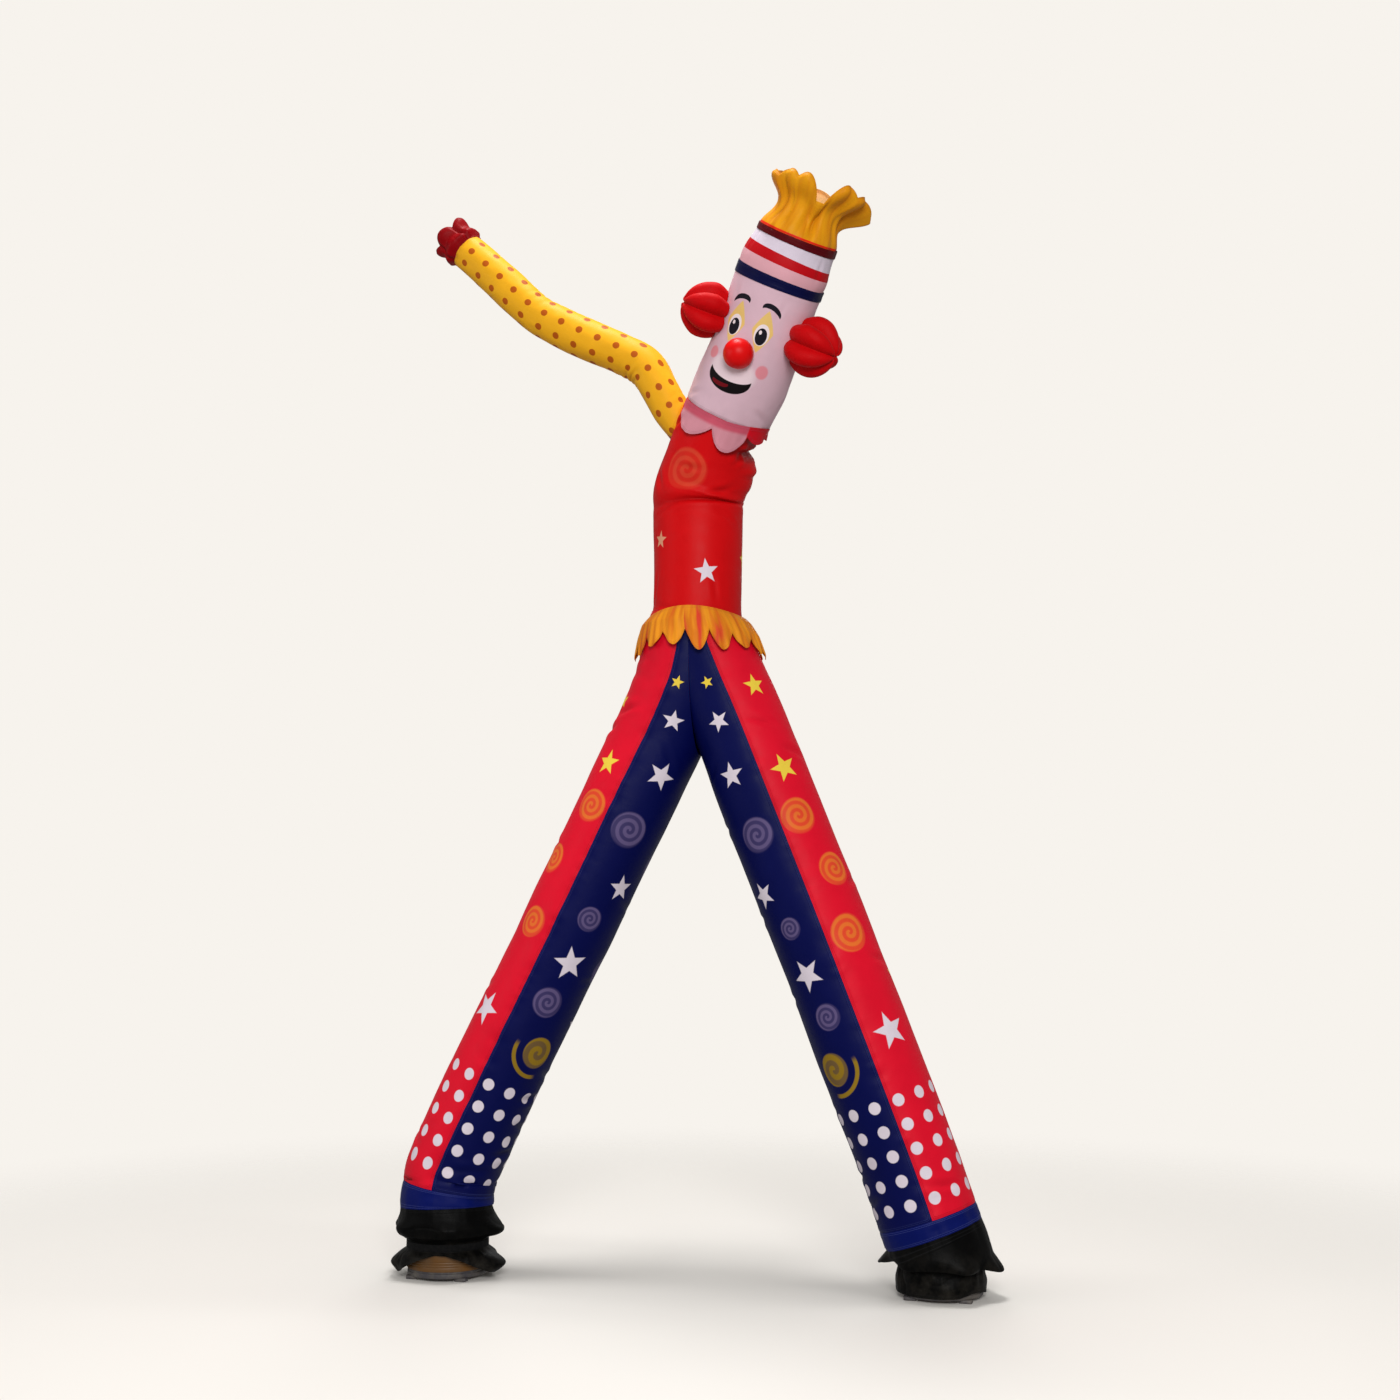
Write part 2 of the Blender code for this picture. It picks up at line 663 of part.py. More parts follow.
def build_body():
    """Torso with its two armholes, head and hat, all on the body line."""
    waist, neck = body.at_height(WAIST), body.at_height(NECK)
    hat, crown = body.at_height(HAT_BOTTOM), body.at_height(HAT_TOP)
    torso = tube_piece("torso", body, waist, neck - SEAM, 9, red, folds=TORSO_FOLDS, rings=TORSO_RINGS)
    for side in "lr":
        arm = arms[side]
        runs, degrees = grid(np.linspace(0, arm_root[side], 5), full_circle(ARM_AROUND))
        bore = arm.points(runs, degrees, -CLOTH - 0.006)
        boolean(torso, cutter(f"armhole_{side}", plug(f"armhole_{side}", bore)), "DIFFERENCE")
    tube_piece("head", body, neck + SEAM, hat - SEAM, HEAD_STEPS, face_pink)
    tube_piece("hat", body, hat + SEAM, crown - SEAM, 4, stripe_white)
    for name, middle, wide, off, material in (
        ("hat_band", hat, HAT_BAND, HAT_BAND_OFF, navy),
        ("crown_band", crown, CROWN_BAND, CROWN_BAND_OFF, maroon),
    ):
        runs, degrees = grid(np.linspace(middle - wide / 2, middle + wide / 2, 3), full_circle(AROUND))
        outer = body.points(runs, degrees, off + CLOTH)
        inner = body.points(runs, degrees, off)
        skin(name, outer, inner, material)


def mouth(name, centre, along, front, lobes, notch, base, waist, knuckle, around, steps, material):
    """An open end splayed into lobes: its radius and height run from the base ring to the rim."""
    side = np.cross(along, front)
    share, degrees = grid(np.linspace(0, 1, steps + 1), full_circle(around))
    reach, rise = np.full_like(share, notch[0]), np.full_like(share, notch[1])
    for middle, half, lobe_reach, lobe_rise in lobes:
        lobe = bump(degrees_apart(degrees, middle) / half) ** LOBE_ROUND
        reach = np.maximum(reach, notch[0] + (lobe_reach - notch[0]) * lobe)
        rise = np.maximum(rise, notch[1] + (lobe_rise - notch[1]) * lobe)
    layers = []
    for grow in (0.0, -CLOTH):
        spread = share**1.6
        radius = base + (reach - base) * spread - waist * np.sin(math.pi * share) ** 2
        radius = radius + knuckle * bump((share - 0.28) / 0.28) + grow
        turn = radians(degrees)
        points = centre + along * (rise * share)[..., None]
        points = points + side * (radius * np.sin(turn))[..., None]
        layers.append(points + front * (radius * np.cos(turn))[..., None])
    return skin(name, *layers, material)


def build_mouths():
    """The crown over the hat and the glove at each wrist."""
    run = body.at_height(HAT_TOP)
    frame = [body.read(values, np.array(run)) for values in (body.centre, body.along, body.front)]
    base = float(body.read(body.half, np.array(run))[0])
    mouth("crown", frame[0] + frame[1] * SEAM, frame[1], frame[2], CROWN_LOBES, CROWN_NOTCH, base,
          CROWN_WAIST, 0.0, CROWN_AROUND, 6, amber)
    for side in "lr":
        arm = arms[side]
        base = arm.half[-1, 0]
        centre = arm.centre[-1] + arm.along[-1] * SEAM
        mouth(f"glove_{side}", centre, arm.along[-1], arm.front[-1], GLOVE_LOBES, GLOVE_NOTCH, base,
              0.0, GLOVE_KNUCKLE, GLOVE_AROUND, 5, glove_red)


def build_arms():
    for side in "lr":
        line = arms[side]
        arm = tube_piece(f"arm_{side}", line, 0.05, line.length(), ARM_STEPS, yellow, ARM_AROUND)
        boolean(arm, body_core, "DIFFERENCE")


def build_frill():
    degrees = np.linspace(0, 360, FRILL_POINTS * 4 + 1)[:-1]
    share, degrees = grid(np.linspace(0, 1, 4), degrees)
    wave = 1 - np.abs(degrees / 360 * FRILL_POINTS % 1 * 2 - 1)
    uneven = 0.018 * np.sin(radians(degrees * 3 + 40)) + 0.010 * np.sin(radians(degrees * 5))
    drop = FRILL_NOTCH + (FRILL_TIP - FRILL_NOTCH) * wave + uneven * wave
    z = FRILL_TOP - drop * share
    rows = np.array(FRILL_ROWS)[::-1]
    middle, wide, deep = (np.interp(z, rows[:, 0], rows[:, column]) for column in (1, 2, 3))
    flute = FRILL_FLUTE * wave * share
    layers = []
    for grow in (CLOTH, 0.0):
        x = middle + (wide + flute + grow) * np.sin(radians(degrees))
        y = -(deep + flute + grow) * np.cos(radians(degrees))
        layers.append(np.stack([x, y, z], axis=-1))
    skin("waist_frill", *layers, orange)


def build_collar():
    """A ruff that hangs from the neck seam in lobes, each standing off the shoulder a little."""
    share, degrees = grid(np.linspace(0, 1, 4), np.linspace(COLLAR_START, COLLAR_STOP, 49))
    drop = np.full_like(share, COLLAR_BAND)
    for middle, half, depth in COLLAR_LOBES:
        lobe = bump((degrees - middle) / half) ** COLLAR_ROUND
        drop = np.maximum(drop, COLLAR_BAND + (depth - COLLAR_BAND) * lobe)
    runs = body.at_height(NECK) - drop * share
    off = COLLAR_OFF + COLLAR_FLARE * (drop * share / 0.185) ** 1.2
    outer = body.points(runs, degrees, off + CLOTH)
    inner = body.points(runs, degrees, off)
    skin("collar", outer, inner, mauve, closed=False)


def ball_points(degrees, height, out):
    """A place beside the body line, with the directions out of the body, up it and across."""
    run = np.array(body.at_height(height))
    centre, along = body.read(body.centre, run), body.read(body.along, run)
    front, side = body.read(body.front, run), body.read(body.side, run)
    turn = math.radians(degrees)
    outward = front * math.cos(turn) + side * math.sin(turn)
    return centre + outward * out, outward, along, np.cross(outward, along)


def puff(name, place, lobes, lobe_depth, rings, around, material):
    """A stuffed ball, pinched into lobes round the axis that points out of the body."""
    degrees, height, out, radius = place
    centre, outward, up, across = ball_points(degrees, height, out)
    tilt, turn = grid(np.linspace(0, 180, rings + 1)[1:-1], full_circle(around))
    pinch = 1 - lobe_depth * (1 - np.abs(np.cos(radians(turn) * lobes / 2))) * np.sin(radians(tilt))
    wide = radius * pinch * np.sin(radians(tilt))
    deep = radius * np.cos(radians(tilt)) * (1 - 0.15 * lobe_depth)
    points = centre + outward * deep[..., None]
    points = points + up * (wide * np.cos(radians(turn)))[..., None]
    points = points + across * (wide * np.sin(radians(turn)))[..., None]
    poles = np.array([centre + outward * radius, centre - outward * radius])
    count = (rings - 1) * around
    faces = sheet_faces(rings - 1, around, True)
    for j in range(around):
        k = (j + 1) % around
        faces.append([count, j, k])
        faces.append([count + 1, (rings - 2) * around + k, (rings - 2) * around + j])
    mesh = mesh_of(name, np.vstack([points.reshape(-1, 3), poles]), faces)
    made = add_object(name, mesh, material)
    boolean(made, head_core, "DIFFERENCE")
    return made


def build_hair_and_nose():
    for side in "lr":
        puff(f"hair_{side}", HAIR[side], HAIR_LOBES, 0.27, 8, 24, red)
    puff("nose", NOSE, 1, 0.0, 8, 16, nose_red)


def build_body_core():
    """The body as one solid, a seam's clearance larger, which cuts what is sewn to its side."""
    runs, degrees = grid(np.linspace(body.at_height(WAIST), body.at_height(HAT_TOP), 27), full_circle(AROUND))
    return cutter("body_core", plug("body_core", body.points(runs, degrees, SEAM + FLATS)))


def build_head_core():
    """The head's own tube as one solid, which leaves a seam's gap behind the hair and the nose."""
    low, high = body.at_height(NECK) + SEAM, body.at_height(HAT_BOTTOM) - SEAM
    runs, degrees = grid(np.linspace(low, high, HEAD_STEPS + 1), full_circle(AROUND))
    return cutter("head_core", plug("head_core", body.points(runs, degrees, 1.5 * SEAM)))


def stand_on_origin():
    """Moves the figure so that the origin is under the middle of its box, on the floor."""
    bpy.context.view_layer.update()
    graph = bpy.context.evaluated_depsgraph_get()
    corners = []
    for made in bpy.data.objects:
        if made.type == "MESH" and not made.hide_render:
            shape = made.evaluated_get(graph)
            corners += [shape.matrix_world @ vertex.co for vertex in shape.data.vertices]
    corners = np.array([tuple(corner) for corner in corners])
    low, high = corners.min(axis=0), corners.max(axis=0)
    dancer.location = (-(low[0] + high[0]) / 2, -(low[1] + high[1]) / 2, -low[2])


for old in list(bpy.data.objects):
    bpy.data.objects.remove(old)

dancer = bpy.data.objects.new("air_dancer", None)
bpy.context.scene.collection.objects.link(dancer)

red = finish("red cloth", (0.60, 0.01, 0.02), 0.55)
navy = finish("navy cloth", (0.004, 0.01, 0.09), 0.55)
blue = finish("blue cloth", (0.0, 0.03, 0.22), 0.55)
amber = finish("amber cloth", (0.72, 0.32, 0.02), 0.55)
orange = finish("orange cloth", (0.75, 0.28, 0.03), 0.55)
yellow = finish("yellow cloth", (0.80, 0.42, 0.02), 0.55)
face_pink = finish("pale pink cloth", (0.58, 0.36, 0.44), 0.55)
mauve = finish("mauve cloth", (0.50, 0.16, 0.20), 0.55)
stripe_white = finish("striped cloth", (0.70, 0.50, 0.54), 0.55)
maroon = finish("maroon cloth", (0.10, 0.002, 0.02), 0.55)
glove_red = finish("dark red cloth", (0.25, 0.0, 0.01), 0.55)
nose_red = finish("bright red cloth", (0.80, 0.02, 0.02), 0.5)
black_cloth = finish("black cloth", (0.008, 0.008, 0.008), 0.7)
webbing = finish("black webbing", (0.012, 0.012, 0.012), 0.8)
black_plastic = finish("black plastic", (0.015, 0.015, 0.015), 0.45)
grey_plastic = finish("dark grey plastic", (0.045, 0.042, 0.045), 0.5)
ochre = finish("ochre plastic", (0.45, 0.25, 0.03), 0.5)

body = Line(BODY_ROWS)
legs = {side: Line(LEG_ROWS[side]) for side in "lr"}
arms = {side: Line(ARM_ROWS[side], ARM_FRONT[side]) for side in "lr"}
arm_root = {"l": 0.34, "r": 0.26}
body_core = build_body_core()
head_core = build_head_core()
hip_room = build_hip_room()

build_legs()
build_cuffs()
build_blowers()
build_body()
build_mouths()
build_arms()
build_frill()
build_collar()
build_hair_and_nose()
stand_on_origin()
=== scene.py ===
from contextlib import contextmanager

import bmesh
import bpy
import numpy as np
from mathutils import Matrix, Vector
from numpy import clip, cos, exp, full_like, interp, linspace, maximum, minimum, pi, radians, sin, stack


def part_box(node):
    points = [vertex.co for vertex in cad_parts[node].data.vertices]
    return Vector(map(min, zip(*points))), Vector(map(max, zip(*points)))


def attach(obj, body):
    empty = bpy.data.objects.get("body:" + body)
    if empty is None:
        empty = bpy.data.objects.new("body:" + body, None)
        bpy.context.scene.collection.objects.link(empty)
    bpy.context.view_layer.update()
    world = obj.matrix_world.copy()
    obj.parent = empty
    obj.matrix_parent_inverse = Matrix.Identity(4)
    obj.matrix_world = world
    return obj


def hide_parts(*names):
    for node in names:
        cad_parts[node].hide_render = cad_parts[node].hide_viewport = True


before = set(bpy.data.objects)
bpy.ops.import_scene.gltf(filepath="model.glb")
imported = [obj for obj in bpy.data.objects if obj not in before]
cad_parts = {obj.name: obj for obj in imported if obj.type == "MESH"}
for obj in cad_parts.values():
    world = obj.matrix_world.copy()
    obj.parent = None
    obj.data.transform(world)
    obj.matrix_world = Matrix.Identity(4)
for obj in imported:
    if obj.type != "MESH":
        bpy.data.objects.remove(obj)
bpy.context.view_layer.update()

# Inflatable air dancer with its two blowers. Metres, +Z up; the figure faces -Y and "l" stands at -X.
# A tube is a function of the run along its middle line and the angle round it, in degrees from its front
# towards +X.

sewing = {
    "thickness": 0.0022, "waist": 3.1, "neck": 4.115, "hatBottom": 4.675, "hatTop": 4.852,
    "hemTop": {"l": 0.407, "r": 0.345}, "hemBottom": {"l": 0.318, "r": 0.27},
}
gap = 0.0003  # between two pieces at a seam
feet = {"l": (-1.205, -0.15), "r": (1.122, 0.0)}  # the blowers' middles as drawn; shift moves them onto the solids
baseLow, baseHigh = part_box("blower_base_l")
shift = np.array([(baseLow[k] + baseHigh[k]) / 2 - feet["l"][k] for k in (0, 1)] + [0.0])


def unit(vectors):
    return vectors / np.linalg.norm(vectors, axis=-1, keepdims=True)


def bump(distance):
    # 1 in the middle, falling as a squared cosine to 0 at a distance of 1
    return cos(clip(abs(distance), 0, 1) * pi / 2) ** 2


def ridge(distance):
    # 1 in the middle, falling as a bell
    return exp(-(distance**2))


def apart(a, b):
    return (a - b + 180) % 360 - 180


def grid(first, second):
    return np.meshgrid(first, second, indexing="ij")


def net(rows, columns, down=(0, 1), turn=(0, 360)):
    return grid(linspace(*down, rows + 1), linspace(*turn, columns + 1))


def flatPlace(angle, radius, along):
    # the place in the flat cut, in metres
    return stack(np.broadcast_arrays(radians(angle) * radius, along), axis=-1)


def softNoise(angle, cells, v, seed):
    # random values on a net, eased between them, from -1 to 1, with so many cells round the 360 degrees
    table, u = np.random.default_rng(seed).uniform(-1, 1, (cells, 128)), angle / 360 * cells
    i, j = np.floor(u).astype(int), np.floor(v).astype(int)
    a, b = u - i, v - j
    a, b = a * a * (3 - 2 * a), b * b * (3 - 2 * b)
    low, high = (table[i % cells, k % 128] * (1 - a) + table[(i + 1) % cells, k % 128] * a for k in (j, j + 1))
    return low * (1 - b) + high * b


def smoothRows(rows, perGap=30):
    # Catmull-Rom curve through the rows of a table, every column at once
    rows = np.array(rows, float)
    ends = np.vstack([2 * rows[0] - rows[1], rows, 2 * rows[-1] - rows[-2]])
    t = linspace(0, 1, perGap, endpoint=False)[:, None]
    spans = [
        0.5 * (2 * b + (c - a) * t + (2 * a - 5 * b + 4 * c - d) * t**2 + (3 * b - a - 3 * c + d) * t**3)
        for a, b, c, d in zip(ends, ends[1:], ends[2:], ends[3:])
    ]
    return np.vstack([*spans, rows[-1:]])


class Tube:
    # a point of the surface is centre(run) + side(run) * wide(run) * sin(angle) + front(run) * deep(run) * cos(angle)
    def __init__(self, rows, front=(0.0, -1.0, 0.0)):
        fine = smoothRows(rows)
        self.centre, self.half = fine[:, :3] + shift, fine[:, 3:]
        self.run = np.append(0, np.cumsum(np.linalg.norm(np.diff(self.centre, axis=0), axis=1)))
        self.length = self.run[-1]
        self.along = unit(np.gradient(self.centre, self.run, axis=0))
        fronts = [np.array(front, float)]
        for along in self.along:
            fronts.append(unit(fronts[-1] - along * (fronts[-1] @ along)))
        self.front = np.array(fronts[1:])
        self.side = np.cross(self.along, self.front)
        # how sharply the line bends, and which way, evened out over 41 of its points
        soft = np.hanning(41) / np.hanning(41).sum()
        turning = np.gradient(self.along, self.run, axis=0)
        self.turning = stack([np.convolve(column, soft, "same") for column in turning.T], axis=-1)

    def atHeight(self, z):
        return float(interp(z, self.centre[:, 2], self.run))

    def read(self, values, runs):
        return stack([interp(runs, self.run, column) for column in values.T], axis=-1)

    def outward(self, runs, angles, wide=1.0, deep=1.0):
        wide, deep = wide * sin(radians(angles)), deep * cos(radians(angles))
        return self.read(self.side, runs) * wide[..., None] + self.read(self.front, runs) * deep[..., None]

    def points(self, runs, angles, grow=0.0):
        half = self.read(self.half, runs)
        return self.read(self.centre, runs) + self.outward(runs, angles, half[..., 0] + grow, half[..., 1] + grow)

    def locate(self, points):
        # for each point, the nearest place on the line, and its offset in half widths and half depths
        flat = points.reshape(-1, 3)
        nearest = np.concatenate([
            ((part[:, None] - self.centre[None]) ** 2).sum(-1).argmin(1) for part in np.array_split(flat, 40)
        ])
        offset = flat - self.centre[nearest]
        away = stack([(offset * axis[nearest]).sum(-1) for axis in (self.side, self.front)]) / self.half[nearest].T
        return nearest.reshape(points.shape[:-1]), np.hypot(*away).reshape(points.shape[:-1])


def billow(runs, angles, size, depth, seed):
    # slow swells of the blown-up cloth, with smaller ones over them
    small = softNoise(angles, max(6, round(3.4 / size)), runs / size * 2.4, seed + 1)
    return depth * (softNoise(angles, max(3, round(1.4 / size)), runs / size, seed) + 0.4 * small)


def gather(distance, along, seed, valley=0.003, pucker=0.003):
    # a sewn seam draws the cloth into a narrow valley, and short ripples run off it and fade
    wide = softNoise(0 * along, 1, along / 0.05, seed) * bump(distance / 0.08)
    fine = softNoise(0 * along, 1, along / 0.026, seed + 1) * bump(distance / 0.045)
    return pucker * (wide + 0.6 * fine) - valley * ridge(distance / 0.01)


def creases(tube, runs, angles, table):
    # each crease is a valley with a low swell on both sides. Columns: run, angle, length, slant, depth, width.
    relief = 0 * runs
    for run, angle, length, slant, depth, width in table:
        across, up, slant = radians(apart(angles, angle)) * tube.half[:, 0].mean(), runs - run, radians(slant)
        off = (up * cos(slant) - across * sin(slant)) / width
        shape = ridge(off) - 0.45 * ridge((abs(off) - 2.0) / 1.1)
        relief -= depth * shape * bump((across * cos(slant) + up * sin(slant)) / (length / 2))
    return relief


def bendFolds(tube, runs, angles, size, depth, seed):
    # on the inside of a bend the cloth folds into rounded rolls with narrow valleys between them
    inside = (tube.outward(runs, angles) * tube.read(tube.turning, runs)).sum(-1) * tube.half[:, 0].mean()
    swing = 0.55 * softNoise(angles, 5, runs / 0.25, seed)
    rolls = np.sqrt(sin(pi * (runs / size + swing)) ** 2 + 0.03)
    return depth * clip(inside * 2.2, 0, 1) * (rolls - 0.8)


def gridMesh(name, points, uv, closed=True, **values):
    # quads facing outwards; the last column of a closed grid is its first one again, the UV map is in metres,
    # and the values become attributes of the points
    columns = points.shape[1] - closed
    i, j = grid(np.arange(len(points) - 1), np.arange(points.shape[1] - 1))
    k = (j + 1) % columns
    quads = stack([i * columns + j, i * columns + k, (i + 1) * columns + k, (i + 1) * columns + j], axis=-1)
    mesh = bpy.data.meshes.new(name)
    mesh.from_pydata(points[:, :columns].reshape(-1, 3).tolist(), [], quads.reshape(-1, 4).tolist())
    corners = stack([uv[i, j], uv[i, j + 1], uv[i + 1, j + 1], uv[i + 1, j]], axis=2)
    mesh.uv_layers.new(name="cloth").data.foreach_set("uv", corners.ravel())
    for label, value in values.items():
        value = value[:, :columns].ravel().astype(np.float32)
        mesh.attributes.new(label, "FLOAT", "POINT").data.foreach_set("value", value)
    return mesh


@contextmanager
def editing(mesh):
    shape = bmesh.new()
    shape.from_mesh(mesh)
    yield shape
    shape.to_mesh(mesh)
    shape.free()


def tidyEdges(mesh, cuts=()):
    # trims the mesh at planes (a point and the normal of the side that goes), closes its poles, and marks its
    # free edges sharp, so that the thickness added later has a clean rim
    with editing(mesh) as shape:
        for place, normal in cuts:
            everything = shape.verts[:] + shape.edges[:] + shape.faces[:]
            bmesh.ops.bisect_plane(shape, geom=everything, plane_co=place, plane_no=normal, clear_outer=True)
        bmesh.ops.remove_doubles(shape, verts=shape.verts, dist=1e-5)
        for edge in shape.edges:
            edge.smooth = not edge.is_boundary
        for face in shape.faces:
            face.smooth = True


def addObject(name, data):
    made = bpy.data.objects.new(name, data)
    bpy.context.scene.collection.objects.link(made)
    return made


def addPiece(mesh, material, slot, *nodes, thickness=0.0):
    piece = addObject(mesh.name, mesh)
    mesh.materials.append(material)
    if thickness:
        solid = piece.modifiers.new("thickness", "SOLIDIFY")
        solid.thickness, solid.offset = thickness, -1.0
    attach(piece, "root")
    if nodes:
        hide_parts(*nodes)
    return piece


def clothPiece(name, points, uv, relief, edge, material, slot, held="gathered", closed=True, cuts=(), motifs=(),
               rests=(), cutArea=None):
    # the cloth's material reads the relief, which it darkens into painted shade in the hollows, and the distance to
    # the nearest sewn edge
    mesh = gridMesh(name + "_cloth", points, uv, closed, hollow=relief, seam=edge)
    tidyEdges(mesh, cuts)
    stampMotifs(mesh, motifs)
    piece = addPiece(mesh, material, slot, name, thickness=sewing["thickness"])


def tubePiece(name, tube, runs, angles, reliefOf, material, slot, radius, **more):
    # cloth between two runs and two angles of a tube; it closes on itself when the angles go all the way round
    run, angle = grid(runs, angles)
    relief, place, closed = reliefOf(run, angle), flatPlace(angle, radius, run), bool(np.ptp(angles) > 359.9)
    edge = np.min(np.concatenate([place - place[0, 0], place[-1, -1] - place], axis=-1), axis=-1)
    clothPiece(name, tube.points(run, angle, relief), place, relief, edge, material, slot, "stretched", closed, **more)


def dotRows(start, pitch, column, rows, every, size):
    angles = column + every * np.arange(-5, 8)
    return [(start + row * pitch, angle, size, 0) for row in range(rows) for angle in angles[abs(angles) < 172]]


def printed(look, radius):
    # a row for each motif: its place round and along, radius, turn, kind and colour
    return [
        (radians(angle) * radius, run, size, turn, motifKinds.index(kind), *printColours[colour])
        for (kind, colour), rows in look.items() for run, angle, size, turn in rows
    ]


def stampMotifs(mesh, motifs):
    # each face belongs to the motif nearest to it, in that motif's own radii; its corners carry their place in it,
    # and its colour, with the kind in the alpha
    count = len(mesh.loops)
    uv, sizes = np.empty(count * 2), np.empty(len(mesh.polygons), int)
    mesh.uv_layers["cloth"].data.foreach_get("uv", uv)
    mesh.polygons.foreach_get("loop_total", sizes)
    uv, owner = uv.reshape(-1, 2), np.repeat(np.arange(len(sizes)), sizes)
    local, colour = np.full((count, 2), 9.0), np.zeros((count, 4))
    if len(motifs):
        middle = stack([np.bincount(owner, uv[:, k]) / sizes for k in (0, 1)], axis=-1)
        table = np.array(motifs)
        away = np.linalg.norm(middle[:, None] - table[None, :, :2], axis=2) / table[:, 2]
        mine = table[away.argmin(axis=1)[owner]]
        (u, v), turn = ((uv - mine[:, :2]) / mine[:, 2:3]).T, radians(mine[:, 3])
        local = stack([u * cos(turn) + v * sin(turn), v * cos(turn) - u * sin(turn)], axis=-1)
        colour = mine[:, (5, 6, 7, 4)]
    mesh.uv_layers.new(name="motif").data.foreach_set("uv", local.ravel())
    mesh.color_attributes.new("print", "FLOAT_COLOR", "CORNER").data.foreach_set("color", colour.ravel())


print("shapes ready")


# Materials: small helpers first, then the shared effects as node groups
pen = {}  # the node tree that is being drawn


def tint(red, green, blue):
    # a screen colour, 0 to 255, as the linear colour that shaders take
    share = np.array([red, green, blue]) / 255
    return tuple(np.where(share < 0.04045, share / 12.92, ((share + 0.055) / 1.055) ** 2.4).tolist())


class Wire:
    # an output of a node; arithmetic on it draws Math nodes
    def __init__(self, socket):
        self.socket = socket


def feed(socket, value):
    if isinstance(value, Wire):
        pen["tree"].links.new(value.socket, socket)
    elif value is not None:
        socket.default_value = (*value, 1.0) if socket.type == "RGBA" else value


def node(kind, *values, out=0, **settings):
    made = pen["tree"].nodes.new("ShaderNode" + kind)
    for name, value in settings.items():
        setattr(made, name, value)
    for socket, value in zip(made.inputs, values):
        feed(socket, value)
    return Wire(made.outputs[out])


def maths(operation, *values):
    return node("Math", *values, operation=operation)


def vector(operation, *values, out=0):
    return node("VectorMath", *values, operation=operation, out=out)


for symbol, operation in (("add", "ADD"), ("sub", "SUBTRACT"), ("mul", "MULTIPLY"), ("truediv", "DIVIDE")):
    setattr(Wire, f"__{symbol}__", lambda first, second, name=operation: maths(name, first, second))
    setattr(Wire, f"__r{symbol}__", lambda second, first, name=operation: maths(name, first, second))


Wire.__abs__ = lambda value: maths("ABSOLUTE", value)


def split(place):
    outputs = node("SeparateXYZ", place).socket.node.outputs
    return [Wire(socket) for socket in outputs]


def noise(place, scale, detail, roughness):
    return node("TexNoise", place, None, scale, detail, roughness)


def step(value, low, high, to=(0.0, 1.0)):
    # eases from one value to another as the first goes from low to high
    return node("MapRange", value, low, high, *to, interpolation_type="SMOOTHSTEP")


def fall(value, low, high):
    return step(value, low, high, (1.0, 0.0))


def within(value, low, high, soft):
    return step(value, low - soft, low + soft) * fall(value, high - soft, high + soft)


def blend(share, first, second, how="MIX"):
    made = node("Mix", share, data_type="RGBA", blend_type=how).socket.node
    feed(made.inputs[6], first)
    feed(made.inputs[7], second)
    return Wire(made.outputs[2])


def makeGroup(name, draw, **inputs):
    # the inputs are numbers or vectors, and draw returns the outputs, which are numbers
    pen["tree"] = group = bpy.data.node_groups.new(name, "ShaderNodeTree")
    for label, value in inputs.items():
        kind = "NodeSocketVector" if isinstance(value, tuple) else "NodeSocketFloat"
        group.interface.new_socket(label, in_out="INPUT", socket_type=kind).default_value = value
    given = group.nodes.new("NodeGroupInput").outputs
    made = draw(**{label: Wire(given[label]) for label in inputs})
    for label in made:
        group.interface.new_socket(label, in_out="OUTPUT", socket_type="NodeSocketFloat")
    result = group.nodes.new("NodeGroupOutput").inputs
    for label, value in made.items():
        feed(result[label], value)
    return group


def use(group, **values):
    made = pen["tree"].nodes.new("ShaderNodeGroup")
    made.node_tree = group
    for label, value in values.items():
        feed(made.inputs[label], value)
    return {socket.name: Wire(socket) for socket in made.outputs}


def drawWeave(place, thread, net, crumple, scale):
    # thread waves, a ripstop net of heavier threads, and soft crumples; the height is in metres
    across = split(place)[:2]
    waves = [maths("SINE", part * (2 * pi) / thread) for part in across]
    lines = maths("MAXIMUM", *(fall(maths("PINGPONG", part / net, 0.5), 0.0, 0.09) for part in across))
    crumples, wide = noise(place, scale, 3.0, 0.55), noise(place, 1.8, 2.0, 0.5)
    soft = (1.0 - abs(crumples * 2.0 - 1.0)) * 0.5 + crumples
    return {
        "height": soft * crumple + waves[0] * waves[1] * 0.00003 + lines * 0.00008,
        "tone": wide * 0.26 + 0.87 + (crumples - 0.5) * 0.16 - lines * 0.03,
        "sheen": crumples,
    }


def drawStitches(place, distance, pitch):
    # two rows of thread dashes beside a sewn edge, and the flat raised band of the seam allowance
    u, v, _ = split(place)
    dash = step(maths("PINGPONG", maths("FRACT", (u + v) / pitch), 0.5), 0.10, 0.18)
    rows = maths("MAXIMUM", *(fall(abs(distance - off), 0.0004, 0.0011) for off in (0.0055, 0.0125)))
    return {"mask": rows * dash, "height": fall(distance, 0.0150, 0.0175) * 0.0006 - rows * 0.0004}


